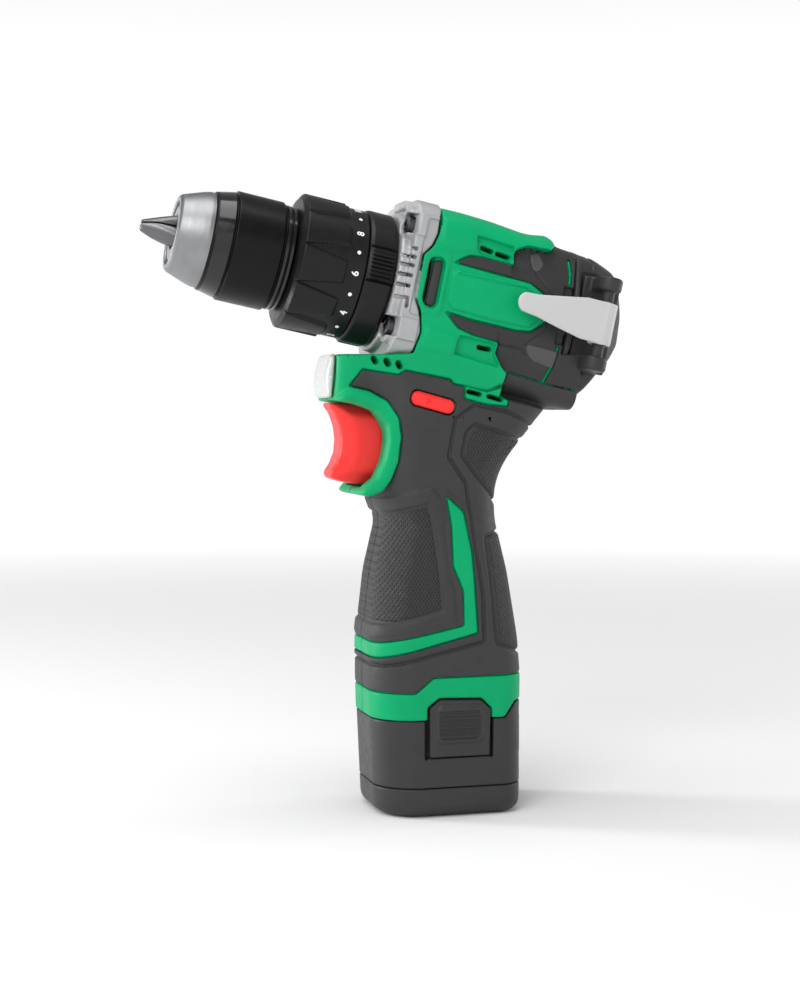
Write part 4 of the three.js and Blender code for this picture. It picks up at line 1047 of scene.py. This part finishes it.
def build_rear_cap():
    g = Grid((-0.8, 37.4, -31.5), (27.5, 62.6, 26.5), grid_step(0.35), tilted=True)
    half, low, high, radius = (table(g.v, REAR_CAP, k, 2) for k in range(1, 5))
    form = rounded_box(g.x, g.w, half, low, high, radius, radius)
    for angle, reach in REAR_FLATS:
        a = math.radians(angle)
        fall = np.maximum(g.v - 46, 0) * 0.34
        form = smax(form, g.x * math.cos(a) + g.w * math.sin(a) - reach + fall, 0.9)
    form = smax(form, g.head(REAR_SIDE, 0.6), 2.0)
    for angle, reach in ((32, 56.6), (58, 64.0)):
        a = math.radians(angle)
        form = smax(form, g.x * math.cos(a) + g.v * math.sin(a) - reach, 1.6)
    form = smax(form, 38.45 - g.v, 0.8)
    form = form + 0.7 * groove(g.v - 44.6, 0.7) * plateau(18.0 - np.abs(g.w), 2.0)
    pocket = smax(np.abs(g.w) - 16.6, 19.6 - g.x, 1.2)
    pocket = smax(pocket, np.abs(g.v - 49.5) - 8.6, 1.2)
    form = smax(form, -pocket, 1.0)
    for level in REAR_VENTS:
        slot = np.maximum(np.abs(g.w - level) - 0.85, np.abs(g.x) - 9.0)
        slot = smax(slot, 55 - g.v, 0.8)
        form = smax(form, -slot, 0.7)
    motor_room = np.maximum(g.radius() - MOTOR_BORE, g.v - 46.5)
    form = smax(form, -motor_room, 0.5)
    form = smax(form, -np.maximum(g.radius() - 4.4, g.v - 51.5), 0.4)
    form = smax(form, 0.06 - g.x, 0.5)
    housing_pair("rear_cap", moulded(g, form), REAR_BLACK, "black_plastic", right=["rear_cap"])


HOOK_BAR = (28.4, 48.6)                 # across and along: the bar that the hook turns on


def build_hook():
    s = grid_step(0.25)
    g = Grid((18.6, 40.5, -18), (32.6, 57, 18), s, tilted=True)
    x, v = HOOK_BAR
    from_bar = np.sqrt((g.x - x) ** 2 + (g.v - v) ** 2)
    form = smax(from_bar - 2.05, np.abs(g.w) - 13.4, 0.8)
    for level in (13.2, -13.2):
        stub = np.maximum(np.abs(g.v - v) - 3.7, np.abs(g.x - 24) - 4.4)
        arm = smax(np.abs(g.w - level) - 2.3, smin(from_bar - 3.9, stub, 1), 1.2)
        form = smin(form, arm, 0.6)
    back = smax(np.abs(g.v - v) - 6.6, np.abs(g.w) - 15.6, 1)
    form = smin(form, smax(np.abs(g.x - 20.6) - 0.8, back, 0.8), 1.0)
    piece = solid_piece("hook_bracket", moulded(g, form, 0.4))
    finish_piece(piece, BLACK, "housing", "black_plastic", "hook_mount")

    g = Grid((23.6, 16.6, -8), (34, 54, 8), s, tilted=True)
    places = (17.6, 19.4, 24.6, 33, 40.8, 47.6)
    half = np.interp(g.v, places, (2.4, 3.1, 3.6, 5.3, 6.8, 6.9)).astype(np.float32)
    middle = np.interp(g.v, (17.6, 24.6, 33, 48), (1.0, 0.7, 0.4, 0.1)).astype(np.float32)
    sheet = np.abs(g.x - 31.5) - 0.72
    flat = smax(np.abs(g.w - middle) - half, 17.6 - g.v, 2.6)
    plate = smax(smax(sheet, flat, 0.7), g.v - v, 0.3)
    from_bar = np.sqrt((g.x - x) ** 2 + (g.v - v) ** 2)
    roll = smax(np.abs(from_bar - 3.1) - 0.72, np.abs(g.w - 0.1) - 6.9, 0.7)
    piece = solid_piece("hook_spring", moulded(g, smin(plate, roll, 0.4), 0.4))
    finish_piece(piece, HOOK, "belt_hook", "hook_steel", "belt_hook")


# ---- Trigger, buttons and lens ----
TRIGGER = [
    (-39.4, 136.0), (-36.9, 132.5), (-35.4, 128.5), (-34.8, 124), (-35.2, 119.4), (-36.8, 115.6),
    (-38.5, 113.2), (-38.2, 111.2), (-34, 109.8), (-28.7, 109.0), (-19.5, 109.8), (-17.3, 112),
    (-17.3, 132.8), (-22, 135.3),
]
SPRING_HEIGHT = 122.03                  # middle of the spring that the pulled trigger slides over


def build_trigger():
    g = Grid((-10.6, -41, 107.6), (10.6, -16, 137.5), grid_step(0.28))
    side = g.side(TRIGGER, 0.8)
    form = smax(side, np.abs(g.x) - 9.4, 1.6)
    form = smax(form, (np.abs(g.x) - 5.6 + (side + 0.2) * 0.95) * 0.72, 1.0)
    spring_bore = np.maximum(np.sqrt(g.x ** 2 + (g.z - SPRING_HEIGHT) ** 2) - 3.3, -24.6 - g.y)
    form = smax(form, -spring_bore, 0.3)
    piece = solid_piece("trigger_lever", moulded(g, form, 0.4))
    finish_piece(piece, RED, "trigger", "button_red", "trigger")


def build_buttons():
    s = grid_step(0.25)
    g = Grid((-21.6, -17, 129), (21.6, 2, 143), s)
    form = smax(button_bar(g, 0.0), np.abs(g.x) - 20.6, 1.6)
    arrow = track([(-2.2, 0.8), (-0.6, 0), (-2.2, -0.8)], *along_bar(g)) - 0.25
    form = smax(form, -np.maximum(arrow, 20.1 - np.abs(g.x)), 0.3)
    piece = solid_piece("direction_bar", moulded(g, form, 0.4))
    finish_piece(piece, RED, "direction_button", "button_red", "direction_button")

    g = Grid((-8, -2.4, 20), (8, 8.6, 28.4), s, tilted=True)
    v = g.v - 3.0
    form = smax(smax(np.abs(g.x) - 6.9, np.abs(v) - 4.1, 1.5), np.abs(g.w - 25.4) - 1.2, 1.0)
    ribs = groove(np.abs(v - np.round(v / 1.6) * 1.6), 0.5) * plateau(np.abs(v) - 2.8, 0.6)
    form = form - 0.35 * ribs * (g.w > 24.5)
    foot = np.maximum(np.maximum(np.abs(g.x) - 3, np.abs(v) - 2), np.abs(g.w - 23) - 1.8)
    form = smin(form, foot, 0.5)
    piece = solid_piece("speed_slider", moulded(g, form, 0.4))
    finish_piece(piece, RED, "speed_selector", "button_red", "speed_selector")


def build_lens():
    g = Grid((-13.4, -43, 137), (13.4, -35.4, 156.4), grid_step(0.25))
    form = smax(g.side(LENS, 0.5), np.abs(g.x) - 12.0, 5)
    piece = solid_piece("work_light_lens", moulded(g, form, 0.4))
    finish_piece(piece, LENS_LOOK, "housing", "lens_clear", "led_lens")


# ---- Battery ----
BATTERY = [
    # height, front, rear, half width, front radius, rear radius
    (-1, -23.6, 22.8, 20.2, 13, 7), (0, -23.8, 23.0, 20.4, 13, 7), (3, -24.7, 23.9, 21.3, 14, 8),
    (9.9, -25.0, 24.1, 21.5, 14, 8.5), (32, -26.0, 24.15, 21.6, 14, 9), (42, -26.0, 24.2, 21.6, 14, 9),
]
BATTERY_STEP = [(17.0, 20), (17.0, 32.0), (20.9, 36.9), (60, 40.6), (60, 20)]
LATCH_PAD = [
    (-7.4, 26.0), (-5.4, 24.7), (7.6, 24.7), (9.4, 26.4), (9.4, 35.0), (7.4, 37.2), (-5.6, 37.2),
    (-7.4, 35.2),
]


def battery_form(g):
    """The smooth outer form of the battery's foot."""
    front, rear, half, front_radius, rear_radius = (table(g.z, BATTERY, k, 1.5) for k in range(1, 6))
    return rounded_box(g.x, g.y, half, front, rear, front_radius, rear_radius)


def build_battery():
    s = grid_step(0.36)
    g = Grid((-23, -27.6, 9.0), (23, 25.8, 43), s)
    form = smax(battery_form(g), g.z - 32.15, 0.6)
    rear_step = smax(battery_form(g), g.side(BATTERY_STEP, 0.5), 0.5)
    form = smin(form, rear_step, 0.3)
    form = smax(form, 10.0 - g.z, 0.6)
    pocket = smax(g.side(LATCH, 0.6) - 0.35, 18.2 - np.abs(g.x), 0.6)
    form = smax(form, -np.maximum(pocket, 19.8 - g.z), 0.4)
    slots = np.minimum(np.abs(g.y + 10.1) - 0.55, np.abs(g.y - 12.1) - 0.55)
    slots = np.maximum(slots, np.maximum(19.0 - np.abs(g.x), 19.4 - g.z))
    form = smax(form, -slots, 0.4)
    piece = solid_piece("battery_shell", moulded(g, form))
    finish_piece(piece, BLACK, "battery", "black_plastic")

    g = Grid((-21, -24, 30.5), (21, 17, 78), grid_step(0.6))
    stem = rounded_box(g.x, g.y, 19.1, -21.9, 15.0, 16, 8)
    stem = smax(stem, np.abs(g.z - 54.2) - 22.7, 1.2)
    latch_room = np.maximum(g.side(LATCH, 0.6) - 0.5, LATCH_DEPTH - np.abs(g.x))
    stem = smax(stem, -latch_room, 0.4)
    for place in (-12.5, 12.5):
        rail = np.maximum(np.abs(g.x - place) - 1.4, g.y + 20.4)
        stem = smax(stem, -np.maximum(rail, 44 - g.z), 0.6)
    piece = solid_piece("battery_stem", moulded(g, stem, 0.3))
    finish_piece(piece, BLACK, "battery", "black_plastic", "battery_case")

    g = Grid((-23, -27, -0.8), (23, 26, 11), s)
    form = smax(smax(battery_form(g), g.z - 9.75, 0.6), -g.z, 4.5)
    piece = solid_piece("battery_base", moulded(g, form))
    finish_piece(piece, BLACK, "battery", "black_plastic", "battery_base_cap")

    for side, sign in (("left", 1), ("right", -1)):
        low, high = sorted((sign * 19.0, sign * 24.6))
        g = Grid((low, -11, 18.6), (high, 13.4, 40.6), grid_step(0.22))
        x = np.abs(g.x)
        face = g.side(LATCH, 0.6)
        face = smax(face + 0.5, 20.2 - g.z, 0.6)
        form = smax(face, np.abs(x - 21.55) - 0.8, 0.6)
        pad = g.side(LATCH_PAD, 0.6)
        raised = smax(pad, np.abs(x - 22.0) - 1.15, 1.0)
        form = smin(form, raised, 0.6)
        level = (g.z - 25.6) / 1.42
        ribs = groove(np.abs(level - np.round(level)) * 1.42, 0.55)
        inner = plateau(pad + 1.3, 0.5)
        form = form + 0.45 * inner * (x > 21.5) - 0.5 * inner * ribs * (x > 21.5)
        piece = solid_piece(f"latch_{side}_button", moulded(g, form, 0.45))
        finish_piece(piece, BLACK, f"latch_{side}", "black_plastic", f"latch_{side}")


# ---- Small pieces ----
BOLT = [(0.01, -18.6), (1.5, -18.6), (1.5, -20.5), (2.95, -20.0), (2.95, -17.75), (1.55, -17.75),
        (1.55, -11), (0.01, -11)]


def six_lobes(turn, along, radius):
    """Turns the round hole in a bolt's head into a six-lobed drive."""
    in_hole = (np.abs(radius - 1.5) < 0.3) & (along < -18.4)
    return np.where(in_hole, 0.28 * np.cos(6 * turn), 0)


def build_screws():
    places = [(x, w) for x in (SCREW_ACROSS, -SCREW_ACROSS) for w in SCREW_LEVELS]
    for index, (x, w) in enumerate(places):
        piece = turned_piece(f"gearbox_bolt_{index + 1}", filleted(BOLT, 0.25), 48, six_lobes)
        shift = HEAD_MATRIX.to_3x3() @ Vector((x * MM, 0, w * MM))
        piece.data.transform(Matrix.Translation(shift))
        finish_piece(piece, DARK_STEEL, "housing", "dark_steel", f"gearbox_screw_{index + 1}")


def wrapped(obj, radius, along, degrees):
    """Bends a flat shape, drawn in millimetres, on to a turned surface: its top points to the nose."""
    for vertex in obj.data.vertices:
        x, y, z = vertex.co
        turn = math.radians(degrees) + x / radius
        r = (radius + z) * MM
        vertex.co = HEAD_MATRIX @ Vector((r * math.cos(turn), (along - y) * MM, r * math.sin(turn)))


def printed(name, mesh_maker, degrees):
    """A printed mark on the torque collar."""
    obj = mesh_maker(name)
    wrapped(obj, COLLAR_RADIUS, PRINT_ALONG, degrees)
    finish_piece(obj, PRINT, "torque_collar", "black_plastic")


def digit(text, size=3.3):
    """A number as a thin solid, centred on its own middle."""
    def make(name):
        curve = bpy.data.curves.new(name, "FONT")
        curve.body = text
        curve.size = size
        curve.align_x, curve.align_y = "CENTER", "CENTER"
        curve.extrude = PRINT_DEPTH
        curve.resolution_u = 4
        curve.offset = 0.07
        holder = link(name + "_curve", curve)
        graph = bpy.context.evaluated_depsgraph_get()
        mesh = bpy.data.meshes.new_from_object(holder.evaluated_get(graph))
        bpy.data.objects.remove(holder)
        return link(name, mesh)
    return make


def dot(name):
    """A small round disc, centred on its own middle."""
    corners, faces = [(0, 0, PRINT_DEPTH), (0, 0, -PRINT_DEPTH)], []
    turns = [2 * math.pi * k / DOT_SIDES for k in range(DOT_SIDES)]
    for z in (PRINT_DEPTH, -PRINT_DEPTH):
        corners += [(DOT_RADIUS * math.cos(turn), DOT_RADIUS * math.sin(turn), z) for turn in turns]
    for k in range(DOT_SIDES):
        n = (k + 1) % DOT_SIDES
        a, b, c, d = 2 + k, 2 + n, 2 + DOT_SIDES + n, 2 + DOT_SIDES + k
        faces += [(0, a, b), (1, c, d), (a, d, c), (a, c, b)]
    mesh = bpy.data.meshes.new(name)
    mesh.from_pydata(corners, [], faces)
    return link(name, mesh)


def build_numbers():
    for index in range(9):
        middle = FIRST_DIGIT + (index - 2) * DIGIT_STEP
        printed(f"scale_number_{index + 1}", digit(str(2 * (index + 1))), middle)
        printed(f"scale_dot_{index + 1}", dot, middle + DIGIT_STEP / 2)


def build_window_insert():
    """Dark insert in the slot at the side of the head."""
    g = Grid((20.5, -13.5, -8.5), (24.6, -5.5, 10.8), 0.35, tilted=True)
    form = smax(g.head(WINDOW_INSERT, 0.5), np.abs(g.x - 22.9) - 1.15, 0.9)
    housing_pair("window_insert", moulded(g, form, 0.5), RUBBER, "grip_rubber")


# ---- CAD nodes that stay: pieces inside, and what shows of them through openings ----
KEPT = {
    "spindle": DARK_STEEL, "ratchet_fixed": DARK_STEEL, "ratchet_turning": DARK_STEEL,
    "carrier_1": DARK_STEEL,
    "chuck_screw": DARK_STEEL, "jaw_nut": DARK_STEEL, "motor_stator": DARK_STEEL, "motor_front_plate": INSIDE,
    "motor_rotor": STEEL, "clutch_spring": STEEL, "trigger_spring": STEEL, "spindle_bearing": STEEL,
    "rear_bearing": STEEL, "ring_gear_1": STEEL, "ring_gear_2": STEEL, "switch_module": INSIDE,
    "terminal_block": INSIDE, "control_board": BOARD, "led_board": BOARD, "battery_contacts": BRASS,
    "battery_cell_1": WRAP, "battery_cell_2": WRAP, "battery_cell_3": WRAP,
    **{f"planet_{stage}_{k}": STEEL for stage in (1, 2) for k in (1, 2, 3)},
}


def dress_kept():
    """Materials and fine edges for the CAD pieces that stay as they are."""
    for name, look in KEPT.items():
        mesh = nodes[name].data
        mesh.materials.clear()
        mesh.materials.append(look.material)
        modifier = nodes[name].modifiers.new("smooth_edges", "BEVEL")
        modifier.width = 0.12 * MM
        modifier.segments = 2
        modifier.limit_method = "ANGLE"
        modifier.angle_limit = math.radians(40)


# ---- Studio, in metres ----
FLOOR_REACH, FLOOR_DEPTH = 3.0, -0.02 * MM
FADE_START, FADE_END = 0.25, 1.1        # the floor turns into the white ground between these distances
DRILL_MIDDLE, EDGE_TARGET = (0, 0, 0.11), (0, 0, 0.1)


def area_light(name, place, target, size, power):
    data = bpy.data.lights.new(name, "AREA")
    data.shape = "RECTANGLE"
    data.size, data.size_y = size
    data.energy = power
    obj = bpy.data.objects.new(name, data)
    bpy.context.scene.collection.objects.link(obj)
    obj.location = place
    obj.rotation_mode = "QUATERNION"
    obj.rotation_quaternion = (Vector(target) - Vector(place)).to_track_quat("-Z", "Y")


def build_studio():
    mesh = bpy.data.meshes.new("floor")
    signs = ((-1, -1), (1, -1), (1, 1), (-1, 1))
    corners = [(FLOOR_REACH * x, FLOOR_REACH * y, FLOOR_DEPTH) for x, y in signs]
    mesh.from_pydata(corners, [], [(0, 1, 2, 3)])
    floor = link("floor", mesh)
    look = Look("floor")
    look.shader.inputs["Roughness"].default_value = 0.9
    look.shader.inputs["Specular IOR Level"].default_value = 0.0
    away = look.node("ShaderNodeVectorMath", operation="LENGTH")
    look.join(look.place, away.inputs[0])
    fade = look.span(away.outputs["Value"], 0, 1, FADE_START, FADE_END)
    look.join(look.blend(fade, (0.95, 0.95, 0.95), (0.0, 0.0, 0.0)), look.shader.inputs["Base Color"])
    look.shader.inputs["Emission Color"].default_value = (1, 1, 1, 1)
    look.join(fade, look.shader.inputs["Emission Strength"])
    mesh.materials.append(look.material)
    world = bpy.data.worlds.new("studio")
    bpy.context.scene.world = world
    world.use_nodes = True
    tree = world.node_tree
    split = tree.nodes.new("ShaderNodeSeparateXYZ")
    tree.links.new(tree.nodes.new("ShaderNodeTexCoord").outputs["Generated"], split.inputs[0])
    fade = tree.nodes.new("ShaderNodeMapRange")
    for key, value in (("From Min", 0.2), ("From Max", 0.5), ("To Min", 1.0), ("To Max", 0.3)):
        fade.inputs[key].default_value = value
    tree.links.new(split.outputs["Z"], fade.inputs["Value"])
    tree.links.new(fade.outputs["Result"], tree.nodes["Background"].inputs["Strength"])
    tree.nodes["Background"].inputs["Color"].default_value = (1, 1, 1, 1)
    area_light("top", (0.1, -0.1, 0.95), DRILL_MIDDLE, (0.6, 0.6), 3.4)
    area_light("key", (0.55, -0.4, 0.6), DRILL_MIDDLE, (0.4, 0.4), 2.2)
    area_light("front_edge", (-0.4, -0.78, 0.2), EDGE_TARGET, (0.16, 0.8), 6.0)
    area_light("rear_edge", (-0.15, 0.85, 0.2), EDGE_TARGET, (0.16, 0.8), 1.6)


def build_camera():
    """The camera looks nearly level at the drill's left side, from a little towards its nose."""
    data = bpy.data.cameras.new("camera")
    data.sensor_width = 36
    data.lens = LENS_MM
    data.clip_start, data.clip_end = 0.01, 20
    camera = bpy.data.objects.new("camera", data)
    bpy.context.scene.collection.objects.link(camera)
    turn, lift = math.radians(CAMERA_TURN), math.radians(CAMERA_LIFT)
    back = Vector((math.sin(turn) * math.cos(lift), -math.cos(turn) * math.cos(lift), math.sin(lift)))
    camera.location = Vector(CAMERA_AIM) + back * CAMERA_FAR
    camera.rotation_mode = "QUATERNION"
    camera.rotation_quaternion = (-back).to_track_quat("-Z", "Y")
    bpy.context.scene.camera = camera


build_camera()
build_housing()
build_gearbox()
build_turned()
build_chuck()
build_rear_cap()
build_hook()
build_trigger()
build_buttons()
build_lens()
build_battery()
build_screws()
build_numbers()
build_window_insert()
dress_kept()
build_studio()
bpy.context.scene.view_settings.view_transform = "Standard"
